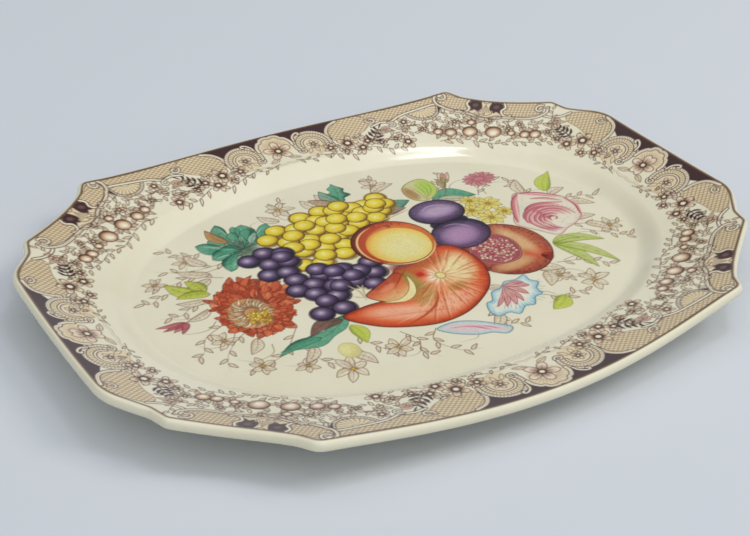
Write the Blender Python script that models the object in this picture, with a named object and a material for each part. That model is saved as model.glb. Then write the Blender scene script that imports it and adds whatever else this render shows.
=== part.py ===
# Oval-welled serving platter with an eight-panelled, cusped border: one piece of pressed,
# fired and glazed earthenware. Metres, +Z up. The origin is under the middle of the dish,
# on the surface it stands on. +X runs along the dish and +Y across it.

import math

import bmesh
import bpy
from mathutils import Vector

mm = 0.001

# Border outline, taken along the crest of the lip
crestLength = 353.0 * mm
crestWidth = 268.6 * mm
cornerRun = 62.2 * mm        # along X, from the end of the dish back to the cusp
sideBow = 12.8 * mm          # how far each long side bows out past its two cusps
sideBowPower = 1.2           # above 1, the bow turns slightly hollow beside the cusps
panelEndInset = 16.7 * mm    # along X, from the end back to the outer corner of a panel
panelEndDrop = 55.6 * mm     # along Y, from the side down to the outer corner of a panel
panelHollow = 3.5 * mm       # sag of a corner panel's edge
panelHollowSkew = 0.6        # below 1, the sag lies nearer the cusp
coveInset = 13.8 * mm        # along X, from the end back to the cove beside a panel
coveDrop = 65.5 * mm         # along Y, from the side down to the cove
shoulderDrop = 83.0 * mm     # along Y, from the side down to the shoulder of an end
endBow = 0.7 * mm            # how far each end bows out past its shoulders
cuspRadius = 5.0 * mm
panelEndRadius = 4.0 * mm
coveRadius = 11.0 * mm
endShoulderRadius = 22.0 * mm

# Section of the dish
wellInsetEnd = 31.2 * mm     # crest to well shoulder, at the ends
wellInsetSide = 28.7 * mm    # crest to well shoulder, at the sides
wellPower = 2.18             # 2 is a true ellipse, more is squarer
wellDepth = 7.0 * mm
cavettoRun = 13.0 * mm       # plan width of the curve between well shoulder and floor
borderSlope = 0.273          # rise of the border for each metre of its width
borderDish = 0.4 * mm        # how far the border sags below a straight slope
endRise = 4.0 * mm           # extra height of the lip at the ends
sideDroop = 3.2 * mm         # height that the lip loses at the middle of the long sides
lipHeight = 5.4 * mm
lipBulge = 2.2 * mm
borderThickness = 4.8 * mm
floorThickness = 4.5 * mm

# Foot ring
footHeight = 2.5 * mm
footInset = 14.0 * mm        # well shoulder to the outer edge of the foot's flat
footWidth = 4.4 * mm
footFlare = 0.9 * mm         # how far each side of the foot spreads towards its root

# How finely the curves are cut
sideSteps = 9
panelSteps = 7
endSteps = 5
filletSteps = 3
cavettoSteps = 6
borderSteps = 3
lipSteps = 6
underSteps = 3

halfLength = crestLength / 2
halfWidth = crestWidth / 2
wellA = halfLength - wellInsetEnd
wellB = halfWidth - wellInsetSide
floorTop = footHeight + floorThickness
shoulderTop = floorTop + wellDepth


def glazedEarthenware():
    glaze = bpy.data.materials.new("glazed_earthenware")
    glaze.use_nodes = True
    shader = glaze.node_tree.nodes["Principled BSDF"]
    shader.inputs["Base Color"].default_value = (0.66, 0.63, 0.50, 1.0)
    shader.inputs["Roughness"].default_value = 0.12
    shader.inputs["Metallic"].default_value = 0.0
    glaze.diffuse_color = (0.66, 0.63, 0.50, 1.0)
    return glaze


# The points of a path, with the corner at path[index] replaced by an arc.
def filleted(path, index, radius, steps):
    corner = path[index]
    back = (path[index - 1] - corner).normalized()
    ahead = (path[index + 1] - corner).normalized()
    halfAngle = math.acos(max(-1.0, min(1.0, back.dot(ahead)))) / 2
    reach = radius / math.tan(halfAngle)
    middle = corner + (back + ahead).normalized() * (radius / math.sin(halfAngle))
    first = corner + back * reach - middle
    last = corner + ahead * reach - middle
    turn = first.angle_signed(last)
    arc = []
    for step in range(steps + 1):
        angle = -turn * step / steps
        arc.append(middle + Vector((first.x * math.cos(angle) - first.y * math.sin(angle),
                                    first.x * math.sin(angle) + first.y * math.cos(angle))))
    return arc


# One quarter of the crest outline, from the middle of a long side to the middle of an end.
def quarterOutline():
    cusp = Vector((halfLength - cornerRun, halfWidth - sideBow))
    panelEnd = Vector((halfLength - panelEndInset, halfWidth - panelEndDrop))
    cove = Vector((halfLength - coveInset, halfWidth - coveDrop))
    endShoulder = Vector((halfLength - endBow, halfWidth - shoulderDrop))
    endMiddle = Vector((halfLength, 0.0))

    side = []
    for step in range(sideSteps):
        share = step / sideSteps
        bow = sideBow * max(0.0, math.cos(math.pi * share / 2)) ** sideBowPower
        side.append(Vector((cusp.x * share, cusp.y + bow)))

    chord = panelEnd - cusp
    inward = Vector((chord.y, -chord.x)).normalized()
    panel = []
    for step in range(1, panelSteps):
        share = step / panelSteps
        sag = panelHollow * math.sin(math.pi * share ** panelHollowSkew)
        panel.append(cusp + chord * share + inward * sag)

    end = []
    for step in range(1, endSteps + 1):
        share = step / endSteps
        bow = endBow * math.sin(math.pi * share / 2)
        end.append(Vector((endShoulder.x + bow, endShoulder.y * (1 - share))))
    end[-1] = endMiddle

    corners = [side[-1], cusp, panel[0]]
    outline = side + filleted(corners, 1, cuspRadius, filletSteps) + panel
    outline += filleted([panel[-1], panelEnd, cove], 1, panelEndRadius, filletSteps)
    outline += filleted([panelEnd, cove, endShoulder], 1, coveRadius, filletSteps)
    outline += filleted([cove, endShoulder, end[0]], 1, endShoulderRadius, filletSteps)
    return outline + end


# The whole outline, anticlockwise from the end at +X.
def crestOutline():
    quarter = quarterOutline()
    upper = [Vector((p.x, p.y)) for p in reversed(quarter)]
    upper += [Vector((-p.x, p.y)) for p in quarter[1:]]
    lower = [Vector((-p.x, -p.y)) for p in upper[1:-1]]
    return upper + lower


# Where the ray from the middle through a plan point meets the oval with these half sizes.
def onOval(point, a, b):
    reach = (abs(point.x / a) ** wellPower + abs(point.y / b) ** wellPower) ** (1 / wellPower)
    return point / reach


# The oval that lies a plan distance inside the shoulder of the well.
def insetOval(point, inset):
    return onOval(point, wellA - inset, wellB - inset)


# Height that the lip gains at the ends and loses at the middle of the long sides.
def edgeLift(point):
    towardsSide = math.atan2(abs(point.y) / halfWidth, abs(point.x) / halfLength)
    balance = math.cos(2 * towardsSide)
    if balance > 0:
        return endRise * balance ** 1.5
    return -sideDroop * (-balance) ** 1.5


def outwardNormals(outline):
    count = len(outline)
    normals = []
    for index in range(count):
        along = (outline[(index + 1) % count] - outline[index - 1]).normalized()
        normals.append(Vector((along.y, -along.x)))
    return normals


# Height of the top face over the cavetto, from 0 at the floor to 1 at the shoulder.
def cavettoTop(share):
    rise = wellDepth * (3 * share ** 2 - 2 * share ** 3)
    leaving = borderSlope * cavettoRun * (share ** 3 - share ** 2)
    return floorTop + rise + leaving


def borderRing(outline, share, drop):
    ring = []
    for point in outline:
        shoulder = insetOval(point, 0.0)
        rise = borderSlope * (point - shoulder).length + edgeLift(point)
        sag = borderDish * math.sin(math.pi * share)
        place = shoulder.lerp(point, share)
        ring.append(Vector((place.x, place.y, shoulderTop + rise * share - sag - drop)))
    return ring


def ovalRing(outline, inset, height):
    ring = []
    for point in outline:
        place = insetOval(point, inset)
        ring.append(Vector((place.x, place.y, height)))
    return ring


def lipRing(outline, normals, angle):
    ring = []
    crest = borderRing(outline, 1.0, 0.0)
    for point, normal in zip(crest, normals):
        out = normal * (lipBulge * math.cos(angle))
        down = lipHeight / 2 * (1 - math.sin(angle))
        ring.append(point + Vector((out.x, out.y, -down)))
    return ring


# Every ring of the section, from the edge of the well floor, out over the lip and back
# underneath to the inside of the foot.
def sectionRings():
    outline = crestOutline()
    normals = outwardNormals(outline)
    rings = []
    for step in range(cavettoSteps):
        share = step / cavettoSteps
        rings.append(ovalRing(outline, cavettoRun * (1 - share), cavettoTop(share)))
    for step in range(borderSteps):
        rings.append(borderRing(outline, step / borderSteps, 0.0))
    for step in range(lipSteps + 1):
        rings.append(lipRing(outline, normals, math.pi / 2 - math.pi * step / lipSteps))
    for step in range(1, underSteps + 1):
        rings.append(borderRing(outline, 1 - step / underSteps, borderThickness))

    rootInset = footInset - footFlare
    shoulderUnder = shoulderTop - borderThickness
    for step in range(1, underSteps + 1):
        share = step / underSteps
        fall = (1 - math.cos(math.pi * share)) / 2
        height = shoulderUnder + (footHeight - shoulderUnder) * fall
        rings.append(ovalRing(outline, rootInset * share, height))
    edge = footFlare / 2
    insideFoot = footInset + footWidth
    rings.append(ovalRing(outline, footInset - edge, edge))
    rings.append(ovalRing(outline, footInset, 0.0))
    rings.append(ovalRing(outline, insideFoot, 0.0))
    rings.append(ovalRing(outline, insideFoot + edge, edge))
    rings.append(ovalRing(outline, insideFoot + footFlare, footHeight))
    return rings


def buildPlatter():
    bm = bmesh.new()
    loops = [[bm.verts.new(place) for place in ring] for ring in sectionRings()]
    count = len(loops[0])
    for inner, outer in zip(loops, loops[1:]):
        for index in range(count):
            after = (index + 1) % count
            bm.faces.new((inner[index], outer[index], outer[after], inner[after]))
    bm.faces.new(loops[0])
    bm.faces.new(list(reversed(loops[-1])))
    bmesh.ops.recalc_face_normals(bm, faces=bm.faces)

    mesh = bpy.data.meshes.new("platter")
    bm.to_mesh(mesh)
    bm.free()
    mesh.materials.append(glazedEarthenware())
    mesh.shade_smooth()
    mesh.set_sharp_from_angle(angle=math.radians(35))
    platter = bpy.data.objects.new("platter", mesh)
    bpy.context.scene.collection.objects.link(platter)
    return platter


for leftover in list(bpy.data.objects):
    bpy.data.objects.remove(leftover, do_unlink=True)

buildPlatter()
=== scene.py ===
import math

import bpy
import numpy as np
from mathutils import Matrix, Vector


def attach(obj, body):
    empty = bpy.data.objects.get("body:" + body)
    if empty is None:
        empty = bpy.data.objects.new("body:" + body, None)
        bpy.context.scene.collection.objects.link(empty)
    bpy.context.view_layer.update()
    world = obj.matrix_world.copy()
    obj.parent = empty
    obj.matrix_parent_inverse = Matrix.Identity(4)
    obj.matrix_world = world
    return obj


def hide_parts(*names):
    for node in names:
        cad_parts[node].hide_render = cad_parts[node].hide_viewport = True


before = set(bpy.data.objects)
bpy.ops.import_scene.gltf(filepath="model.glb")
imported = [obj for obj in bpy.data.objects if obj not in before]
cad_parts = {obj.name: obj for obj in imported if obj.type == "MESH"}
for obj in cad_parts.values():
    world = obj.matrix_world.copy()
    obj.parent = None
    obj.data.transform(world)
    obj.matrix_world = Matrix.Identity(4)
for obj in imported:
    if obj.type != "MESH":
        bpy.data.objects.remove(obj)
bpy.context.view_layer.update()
mm = 0.001
print("frame loaded")


def shown(hexColour):  # sRGB hex to display values, which the drawing is painted in
    return np.array([int(hexColour[i:i + 2], 16) / 255 for i in (1, 3, 5)], np.float32)


def shownToLinear(values):
    return np.where(values <= 0.04045, values / 12.92, ((values + 0.055) / 1.055) ** 2.4)


def linear(hexColour):  # sRGB hex to linear
    return shownToLinear(shown(hexColour).astype(float)).tolist()


def addNode(tree, kind, settings=None, links=None):  # settings and links go by property or socket
    node = tree.nodes.new(kind)
    for name, value in (settings or {}).items():
        if isinstance(name, str) and hasattr(node, name):
            setattr(node, name, value)
        else:
            node.inputs[name].default_value = value
    for name, source in (links or {}).items():
        tree.links.new(source, node.inputs[name])
    return node


# The dish, in millimetres: the same sizes as the solid model
dish = {
    "halfLength": 176.5, "halfWidth": 134.3,
    "cusp": (62.2, 12.8), "panelEnd": (16.7, 55.6), "cove": (13.8, 65.5), "endShoulder": (0.7, 83.0),
    "sideBow": 12.8, "sideBowPower": 1.2, "panelHollow": 3.5, "panelHollowSkew": 0.6, "endBow": 0.7,
    "cuspRadius": 5.0, "panelEndRadius": 4.0, "coveRadius": 11.0, "endShoulderRadius": 22.0,
    "wellA": 145.3, "wellB": 105.6, "wellPower": 2.18, "wellDepth": 7.0, "cavettoRun": 13.0,
    "floorTop": 7.0, "borderSlope": 0.273, "borderDish": 0.4, "endRise": 4.0, "sideDroop": 3.2,
    "lipDrop": 5.35, "lipBulge": 2.195, "lipCrown": 0.1, "borderThickness": 4.8,
    "footHeight": 2.5, "footInset": 14.0, "footWidth": 4.4, "footFlare": 0.9,
    "wellMean": 125.0,  # mean radius of the well, which sets how the floor's grid is spread
}
fineness = {
    "sidePoints": 60, "panelPoints": 40, "filletPoints": 12,  # along the outline
    "gridCells": 560, "borderRings": 76, "lipRings": 22, "underRings": 22, "rootRings": 12, "footRings": 6,
    "floorRings": 16,
}


def unit(v):
    return v / np.hypot(*v)


def fillet(before, corner, after, radius):
    back, ahead = unit(before - corner), unit(after - corner)
    half = math.acos(float(back @ ahead)) / 2
    middle = corner + unit(back + ahead) * radius / math.sin(half)
    first, last = (corner + way * radius / math.tan(half) - middle for way in (back, ahead))
    turn = math.atan2(first[0] * last[1] - first[1] * last[0], float(first @ last))
    a = np.linspace(0, turn, fineness["filletPoints"])[:, None]
    return middle + first * np.cos(a) + np.array([-first[1], first[0]]) * np.sin(a)


def quarterOutline():  # crest of the lip, from the middle of a long side to the middle of an end
    half = np.array([dish["halfLength"], dish["halfWidth"]])
    cusp, panelEnd, cove, endShoulder = (half - dish[k] for k in ("cusp", "panelEnd", "cove", "endShoulder"))
    s = np.linspace(0, 8 / 9, fineness["sidePoints"])  # each run stops short of its fillets
    bow = dish["sideBow"] * np.cos(math.pi * s / 2) ** dish["sideBowPower"]
    side = np.stack([cusp[0] * s, cusp[1] + bow], 1)
    chord = panelEnd - cusp
    inward = unit(np.array([chord[1], -chord[0]]))
    s = np.linspace(1 / 7, 6 / 7, fineness["panelPoints"])[:, None]
    panel = cusp + chord * s + inward * dish["panelHollow"] * np.sin(math.pi * s ** dish["panelHollowSkew"])
    s = np.linspace(0.2, 1, fineness["panelPoints"])
    end = np.stack([endShoulder[0] + dish["endBow"] * np.sin(math.pi * s / 2), endShoulder[1] * (1 - s)], 1)
    return np.concatenate([
        side, fillet(side[-1], cusp, panel[0], dish["cuspRadius"]), panel,
        fillet(panel[-1], panelEnd, cove, dish["panelEndRadius"]),
        fillet(panelEnd, cove, endShoulder, dish["coveRadius"]),
        fillet(cove, endShoulder, end[0], dish["endShoulderRadius"]), end])


quarter = quarterOutline()
tableAngle = np.linspace(0, math.pi / 2, 3001)  # an entry about every tenth of a millimetre of rim
tableRadius = np.interp(tableAngle, np.arctan2(quarter[:, 1], quarter[:, 0])[::-1],
                        np.hypot(quarter[:, 0], quarter[:, 1])[::-1])
softening = np.hanning(15) / np.hanning(15).sum()  # about a millimetre of glaze rounding at the kinks
tableRadius = np.convolve(np.pad(tableRadius, 7, "reflect"), softening, "valid")


def crestRadius(theta):
    return np.interp(np.arctan2(np.abs(np.sin(theta)), np.abs(np.cos(theta))), tableAngle, tableRadius)


def ovalRadius(theta, inset):  # middle to the oval this far inside the well's shoulder
    a, b, power = dish["wellA"] - inset, dish["wellB"] - inset, dish["wellPower"]
    return ((np.abs(np.cos(theta)) / a) ** power + (np.abs(np.sin(theta)) / b) ** power) ** (-1 / power)


def borderRise(theta):  # height from the well's shoulder to the crest
    across, along = np.abs(np.sin(theta)) / dish["halfWidth"], np.abs(np.cos(theta)) / dish["halfLength"]
    balance = np.cos(2 * np.arctan2(across, along))  # 1 at the ends, -1 at the middle of the long sides
    most = np.where(balance > 0, dish["endRise"], dish["sideDroop"])
    lift = most * np.sign(balance) * np.abs(balance) ** 1.5
    return dish["borderSlope"] * (crestRadius(theta) - ovalRadius(theta, 0)) + lift - dish["lipCrown"]


def onRay(theta, radius, height):
    return np.stack([np.cos(theta) * radius, np.sin(theta) * radius, height + 0 * radius], -1)


def borderPoint(theta, share):  # share 0 at the well's shoulder, 1 at the crest
    inner, outer = ovalRadius(theta, 0), crestRadius(theta)
    top = dish["floorTop"] + dish["wellDepth"]
    height = top + borderRise(theta) * share - dish["borderDish"] * np.sin(math.pi * share)
    return onRay(theta, inner + (outer - inner) * share, height)


def wellPoint(theta, rho):  # rho 0 in the middle, 1 at the shoulder
    run, edge = dish["cavettoRun"], ovalRadius(theta, dish["cavettoRun"])
    floorShare = 1 - run / dish["wellMean"]
    s = np.clip((rho - floorShare) / (1 - floorShare), 0, 1)
    shoulder = ovalRadius(theta, 0)
    leaving = (borderRise(theta) - math.pi * dish["borderDish"]) / (crestRadius(theta) - shoulder)
    height = (dish["floorTop"] + dish["wellDepth"] * (3 * s ** 2 - 2 * s ** 3)
              + leaving * (shoulder - edge) * (s ** 3 - s ** 2))
    radius = np.where(s > 0, ovalRadius(theta, run * (1 - s)), edge * rho / floorShare)
    return onRay(theta, radius, height)


def surfaceNormals(surface, theta, share):  # from small steps each way along the surface
    t = 1e-3
    along = surface(theta + t, share) - surface(theta - t, share)
    out = surface(theta, share + t) - surface(theta, share - t)
    normal = np.cross(out, along)
    return normal / np.maximum(np.linalg.norm(normal, axis=-1, keepdims=True), 1e-12)


def gridNormals(points):  # rings by columns, closed round the dish
    out = np.gradient(points, axis=0)
    along = np.roll(points, -1, 1) - np.roll(points, 1, 1)
    normal = np.cross(out, along)
    return normal / np.maximum(np.linalg.norm(normal, axis=-1, keepdims=True), 1e-12)


def backRings():  # lip, underside, foot and underside of the floor, as rings by columns
    crest, shoulder, rise = crestRadius(columns), ovalRadius(columns, 0), borderRise(columns)
    top = dish["floorTop"] + dish["wellDepth"]
    t = 1e-3
    ahead, behind = (onRay(columns + step, crestRadius(columns + step), 0) for step in (t, -t))
    along = ahead - behind
    outward = np.stack([along[:, 1], -along[:, 0], 0 * columns], 1)
    outward /= np.linalg.norm(outward, axis=1, keepdims=True)
    slope = (rise + math.pi * dish["borderDish"]) / (crest - shoulder)
    lean = np.arctan(slope * 0.7)  # the lip leaves the border without a crease
    bulge = dish["lipBulge"] / (1 + np.sin(lean))
    halfDrop = dish["lipDrop"] / 2 / np.cos(lean)
    edge = onRay(columns, crest, top + rise)
    up = np.array([0, 0, 1])
    lipRings, underRings, floorRings = (fineness[k] for k in ("lipRings", "underRings", "floorRings"))
    rootRings, footRings = fineness["rootRings"], fineness["footRings"]
    rings = []
    for j in range(lipRings + 1):
        angle = math.pi / 2 + lean - math.pi * j / lipRings
        out = bulge * (np.cos(angle) + np.sin(lean))
        drop = halfDrop * (np.cos(lean) - np.sin(angle))
        rings.append(edge + outward * out[:, None] - up * drop[:, None])
    under = top - dish["borderThickness"]
    inner, lipFoot = onRay(columns, shoulder, under), rings[-1]
    for j in range(1, underRings + 1):
        share = 1 - j / underRings
        ring = inner + (lipFoot - inner) * share
        rings.append(ring - up * dish["borderDish"] * math.sin(math.pi * share))
    flare, foot = dish["footFlare"], dish["footHeight"]
    root = dish["footInset"] - flare
    far = dish["footInset"] + dish["footWidth"]
    profile = []  # inset from the shoulder, and height
    for j in range(1, rootRings + 1):
        fall = (1 - math.cos(math.pi * j / rootRings)) / 2
        profile.append((root * j / rootRings, under + (foot - under) * fall))
    for j in range(1, footRings + 1):  # outer wall of the foot, rounded at the bottom
        a = math.pi / 2 * j / footRings
        profile.append((root + flare * (1 - math.cos(a)), foot * (1 - math.sin(a))))
    for share in (1 / 3, 2 / 3, 1):
        profile.append((dish["footInset"] + dish["footWidth"] * share, 0.0))
    for j in range(1, footRings + 1):  # and its inner wall
        a = math.pi / 2 * (1 - j / footRings)
        profile.append((far + flare * (1 - math.sin(a)), foot * (1 - math.sin(a))))
    rings += [onRay(columns, ovalRadius(columns, inset), height) for inset, height in profile]
    last = ovalRadius(columns, profile[-1][0])
    for j in range(1, floorRings):
        rings.append(onRay(columns, last * (1 - j / floorRings), foot))
    return np.array(rings)


# Transfer print and hand colouring, drawn flat in display colours on fine cells over the plan, in mm
sheet = {"cell": 0.2, "reachX": 180.0, "reachY": 138.0, "glaze": "#e3dec6"}
inks = {
    "line": "#4e3125", "soft": "#8d6d53", "dark": "#3a1f22", "tan": "#dfcea8", "pale": "#dfceac",
    "white": "#ebe3cb", "bud": "#cba08c", "net": "#6b4c3a", "rim": "#5e4128",
}
sheetShape = (int(2 * sheet["reachY"] / sheet["cell"]), int(2 * sheet["reachX"] / sheet["cell"]))
paint = np.tile(shown(sheet["glaze"]), (*sheetShape, 1))
cover = np.zeros(sheetShape, np.float32)
dice = np.random.default_rng(7)


def cloud(grain):  # soft noise over the sheet, with patches about this many millimetres wide
    rows, cols = (int(n * sheet["cell"] / grain) + 3 for n in sheetShape)
    rough = dice.random((rows, cols))
    r, c = np.linspace(0, rows - 1.001, sheetShape[0]), np.linspace(0, cols - 1.001, sheetShape[1])
    r0, c0 = r.astype(int), c.astype(int)
    fr, fc = r - r0, c - c0
    fr, fc = (fr * fr * (3 - 2 * fr))[:, None], (fc * fc * (3 - 2 * fc))[None]
    low = rough[r0][:, c0] * (1 - fc) + rough[r0][:, c0 + 1] * fc
    high = rough[r0 + 1][:, c0] * (1 - fc) + rough[r0 + 1][:, c0 + 1] * fc
    return (low * (1 - fr) + high * fr).astype(np.float32)


brushwork = 0.6 * cloud(1.6) + 0.4 * cloud(4.5)  # unevenness of hand-laid colour


def window(path, margin):
    cell, reach = sheet["cell"], np.array([sheet["reachX"], sheet["reachY"]])
    low = np.maximum(((path.min(0) - margin + reach) / cell).astype(int), 0)
    high = np.minimum(((path.max(0) + margin + reach) / cell).astype(int) + 2, sheetShape[::-1])
    high = np.maximum(high, low)
    x = (np.arange(low[0], high[0]) + 0.5) * cell - reach[0]
    y = (np.arange(low[1], high[1]) + 0.5) * cell - reach[1]
    return (slice(low[1], high[1]), slice(low[0], high[0])), x, y


def measure(path, x, y, limit, closed):  # distance to a path, and the share of its length there
    best = np.full((len(y), len(x)), limit, np.float32)
    along = np.zeros_like(best)
    ends = np.roll(path, -1, 0) if closed else path[1:]
    steps = ends - path[:len(ends)]
    lengths = np.maximum(np.hypot(steps[:, 0], steps[:, 1]), 1e-6)
    total, start = lengths.sum(), 0.0
    for a, d, length in zip(path, steps, lengths):
        b = a + d
        i = slice(*np.searchsorted(x, [min(a[0], b[0]) - limit, max(a[0], b[0]) + limit]))
        j = slice(*np.searchsorted(y, [min(a[1], b[1]) - limit, max(a[1], b[1]) + limit]))
        px, py = x[None, i] - a[0], y[j, None] - a[1]
        t = np.clip((px * d[0] + py * d[1]) / length ** 2, 0, 1)
        gap = np.hypot(px - t * d[0], py - t * d[1])
        nearer = gap < best[j, i]
        best[j, i] = np.where(nearer, gap, best[j, i])
        along[j, i] = np.where(nearer, (start + t * length) / total, along[j, i])
        start += length
    return best, along


def insideOf(path, x, y):
    odd = np.zeros((len(y), len(x)), bool)
    for a, b in zip(path, np.roll(path, -1, 0)):
        rows = np.flatnonzero((a[1] > y) != (b[1] > y))
        if len(rows):
            cut = a[0] + (y[rows] - a[1]) * (b[0] - a[0]) / (b[1] - a[1])
            odd[rows] ^= x[None] < cut[:, None]
    return odd


def lay(area, mask, colour):
    colour = shown(colour) if isinstance(colour, str) else colour
    paint[area] += (colour - paint[area]) * mask[..., None]
    cover[area] = np.maximum(cover[area], mask)


def ramp(stops, value):  # colours at values, blended between
    at = [s[0] for s in stops]
    tones = np.array([shown(s[1]) for s in stops])
    return np.stack([np.interp(value, at, tones[:, k]) for k in range(3)], -1).astype(np.float32)


# A filled outline. The tone is one colour, or a function of x, y and the depth inside the outline.
def shape(path, tone, edge=None, edgeWidth=0.3, strength=1.0, limit=3.0, wash=0.0):
    path = np.asarray(path, float)
    area, x, y = window(path, edgeWidth + 0.4)
    if not len(x) or not len(y):
        return
    gap = measure(path, x, y, limit, True)[0]
    depth = np.where(insideOf(path, x, y), gap, -gap)
    mask = np.clip(depth / sheet["cell"] + 0.5, 0, 1) * strength
    if wash:
        mask = mask * (1 - wash * brushwork[area])
    lay(area, mask, tone(*np.meshgrid(x, y), depth) if callable(tone) else tone)
    if edge:
        lay(area, np.clip((edgeWidth / 2 - np.abs(depth)) / sheet["cell"] + 0.5, 0, 1), edge)


def stroke(path, width, colour, taper="", strength=1.0):  # a pen line, tapered at one end or both
    path = np.asarray(path, float)
    area, x, y = window(path, width / 2 + 0.4)
    if not len(x) or not len(y):
        return
    gap, along = measure(path, x, y, width / 2 + 0.4, False)
    swell = {"": 1.0, "both": np.sin(math.pi * np.clip(along, 0.02, 0.98)) ** 0.6,
             "end": (1 - along) ** 0.7, "start": along ** 0.7}[taper]
    lay(area, np.clip((width * swell / 2 - gap) / sheet["cell"] + 0.5, 0, 1) * strength, colour)


def smooth(points, closed=False, steps=6):  # a curve through the points
    p = np.asarray(points, float)
    before, after = (p[-1:], p[:2]) if closed else (2 * p[:1] - p[1:2], 2 * p[-1:] - p[-2:-1])
    p = np.concatenate([before, p, after])
    t = (np.arange(steps) / steps)[:, None]
    parts = [0.5 * (2 * b + (c - a) * t + (2 * a - 5 * b + 4 * c - d) * t ** 2
                    + (3 * b - a - 3 * c + d) * t ** 3) for a, b, c, d in zip(p, p[1:], p[2:], p[3:])]
    return np.concatenate(parts if closed else parts + [p[-2:-1]])


def ellipse(x, y, rx, ry=None, tilt=0.0, count=28):
    a = np.linspace(0, 2 * math.pi, count, endpoint=False)
    u, v = rx * np.cos(a), (ry or rx) * np.sin(a)
    c, s = math.cos(math.radians(tilt)), math.sin(math.radians(tilt))
    return np.stack([x + u * c - v * s, y + u * s + v * c], 1)


def curl(x, y, radius, start, sweep, shrink=1.0, count=26):  # arc or spiral, angles in degrees
    s = np.linspace(0, 1, count)
    a, r = np.radians(start + sweep * s), radius * (1 + (shrink - 1) * s)
    return np.stack([x + r * np.cos(a), y + r * np.sin(a)], 1)


def around(x, y, rx, ry, a):  # a point of an upright ellipse, at this angle in radians
    return x + rx * math.cos(a), y + ry * math.sin(a)


def nettedPanel(path, pitch, edge, line=0.4):  # tan ground under engraved crossed lines
    shape(path, inks["tan"], edge)
    area, x, y = window(path, 0)
    lines = np.zeros((len(y), len(x)), np.float32)
    for a in (math.radians(38), math.radians(-38)):
        across = (y[:, None] * math.cos(a) - x[None] * math.sin(a)) / pitch
        gap = np.abs(across - np.round(across)) * pitch
        lines = np.maximum(lines, np.clip((line / 2 - gap) / sheet["cell"] + 0.5, 0, 1))
    lay(area, lines * insideOf(path, x, y) * 0.7, inks["net"])


# A leaf or petal from its base to its tip. peak below 1 puts its widest place nearer the base,
# above 1 nearer the tip, and bend bows it sideways by that share of its length.
def leaf(base, tip, width, fill, dark=None, bend=0.0, edge=None, veins=4, lobes=0, wash=0.25, line=0.3,
         peak=0.75):
    base, tip = np.array(base, float), np.array(tip, float)
    axis = tip - base
    side = np.array([-axis[1], axis[0]])
    length = np.hypot(*axis)
    s = np.linspace(0, 1, 16)
    half = np.sin(math.pi * s ** peak) ** 0.85 * width / 2 / length
    half = half * (1 + 0.3 * np.sin(2 * math.pi * lobes * s)) if lobes else half
    spine = base + axis * s[:, None] + side * (bend * np.sin(math.pi * s))[:, None]
    left, right = spine + side * half[:, None], spine - side * half[:, None]
    edge = edge or inks["line"]
    dark = dark or fill
    n = side / length

    def tone(x, y, depth):
        over = ((x - base[0]) * n[0] + (y - base[1]) * n[1]) / width + 0.5 - bend * length / width * 0.6
        return ramp([(0.1, dark), (0.55, fill), (1.0, fill)], over + 0.1 * depth)
    shape(np.concatenate([left, right[::-1][1:-1]]), tone, edge, line, wash=wash)
    if veins:
        stroke(spine, line, edge, "end", 0.9)
    for j in range(veins):
        k = 3 + int(j * 10 / veins)
        for rim in (left, right):
            far = spine[k] + (rim[min(k + 2, 15)] - spine[k]) * 0.75
            stroke([spine[k], far], line * 0.8, edge, "end", 0.6)


# A printed flower with a dark eye
def bloom(x, y, radius, petals=5, turn=0.0, fill=None, heart=None, ring=0.3):
    fill, heart, edge = fill or inks["pale"], heart or inks["soft"], inks["line"]
    wide = math.pi * radius * 0.62 / petals * 1.45
    for k in range(petals):
        degrees = turn + 360 * k / petals
        a = math.radians(degrees)
        petal = ellipse(*around(x, y, radius * 0.6, radius * 0.6, a), radius * 0.44, wide * 0.52, degrees, 18)
        shape(petal,
              lambda px, py, depth: ramp([(0.25, heart), (0.75, fill)], np.hypot(px - x, py - y) / radius),
              edge, 0.42, wash=0.15)
        crease = [around(x, y, radius * share, radius * share, a) for share in (0.3, 0.72)]
        stroke(crease, 0.4, edge, "end", 0.8)
    shape(ellipse(x, y, radius * ring), edge)
    shape(ellipse(x, y, radius * ring * 0.5), inks["white"])


# A round fruit, shaded from its light side outwards through the stops
def fruit(x, y, rx, ry, stops, tilt=0.0, light=(-0.3, 0.3), edge="#3a2a2c", line=0.35, spread=1.3, wash=0.12):
    c, s = math.cos(math.radians(tilt)), math.sin(math.radians(tilt))

    def tone(px, py, depth):
        u, v = ((px - x) * c + (py - y) * s) / rx, ((py - y) * c - (px - x) * s) / ry
        return ramp(stops, np.hypot(u - light[0], v - light[1]) / spread)
    shape(ellipse(x, y, rx, ry, tilt, 40), tone, edge, line, wash=wash)


def blush(x, y, rx, ry, colour, strength=0.8, tilt=0.0):  # brushed colour that thins to nothing at its rim
    area, px, py = window(ellipse(x, y, rx, ry, tilt), 0)
    c, s = math.cos(math.radians(tilt)), math.sin(math.radians(tilt))
    u = ((px[None] - x) * c + (py[:, None] - y) * s) / rx
    v = ((py[:, None] - y) * c - (px[None] - x) * s) / ry
    mask = np.clip(1.2 * (1 - u * u - v * v), 0, 1) * strength * (1 - 0.3 * brushwork[area])
    lay(area, mask.astype(np.float32), colour)


def scrollBand(path, width, beads=0.0):  # a white band between two printed lines
    stroke(path, width + 1.1, inks["line"])
    stroke(path, width, inks["white"])
    if beads:
        path = np.asarray(path, float)
        walk = np.concatenate([[0], np.cumsum(np.hypot(*np.diff(path, axis=0).T))])
        for d in np.arange(beads, walk[-1], beads):
            px, py = np.interp(d, walk, path[:, 0]), np.interp(d, walk, path[:, 1])
            shape(ellipse(px, py, 0.4, count=8), inks["line"], strength=0.8)
    elif width > 1.2:
        stroke(path, 0.3, inks["soft"], "both", 0.8)


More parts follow.
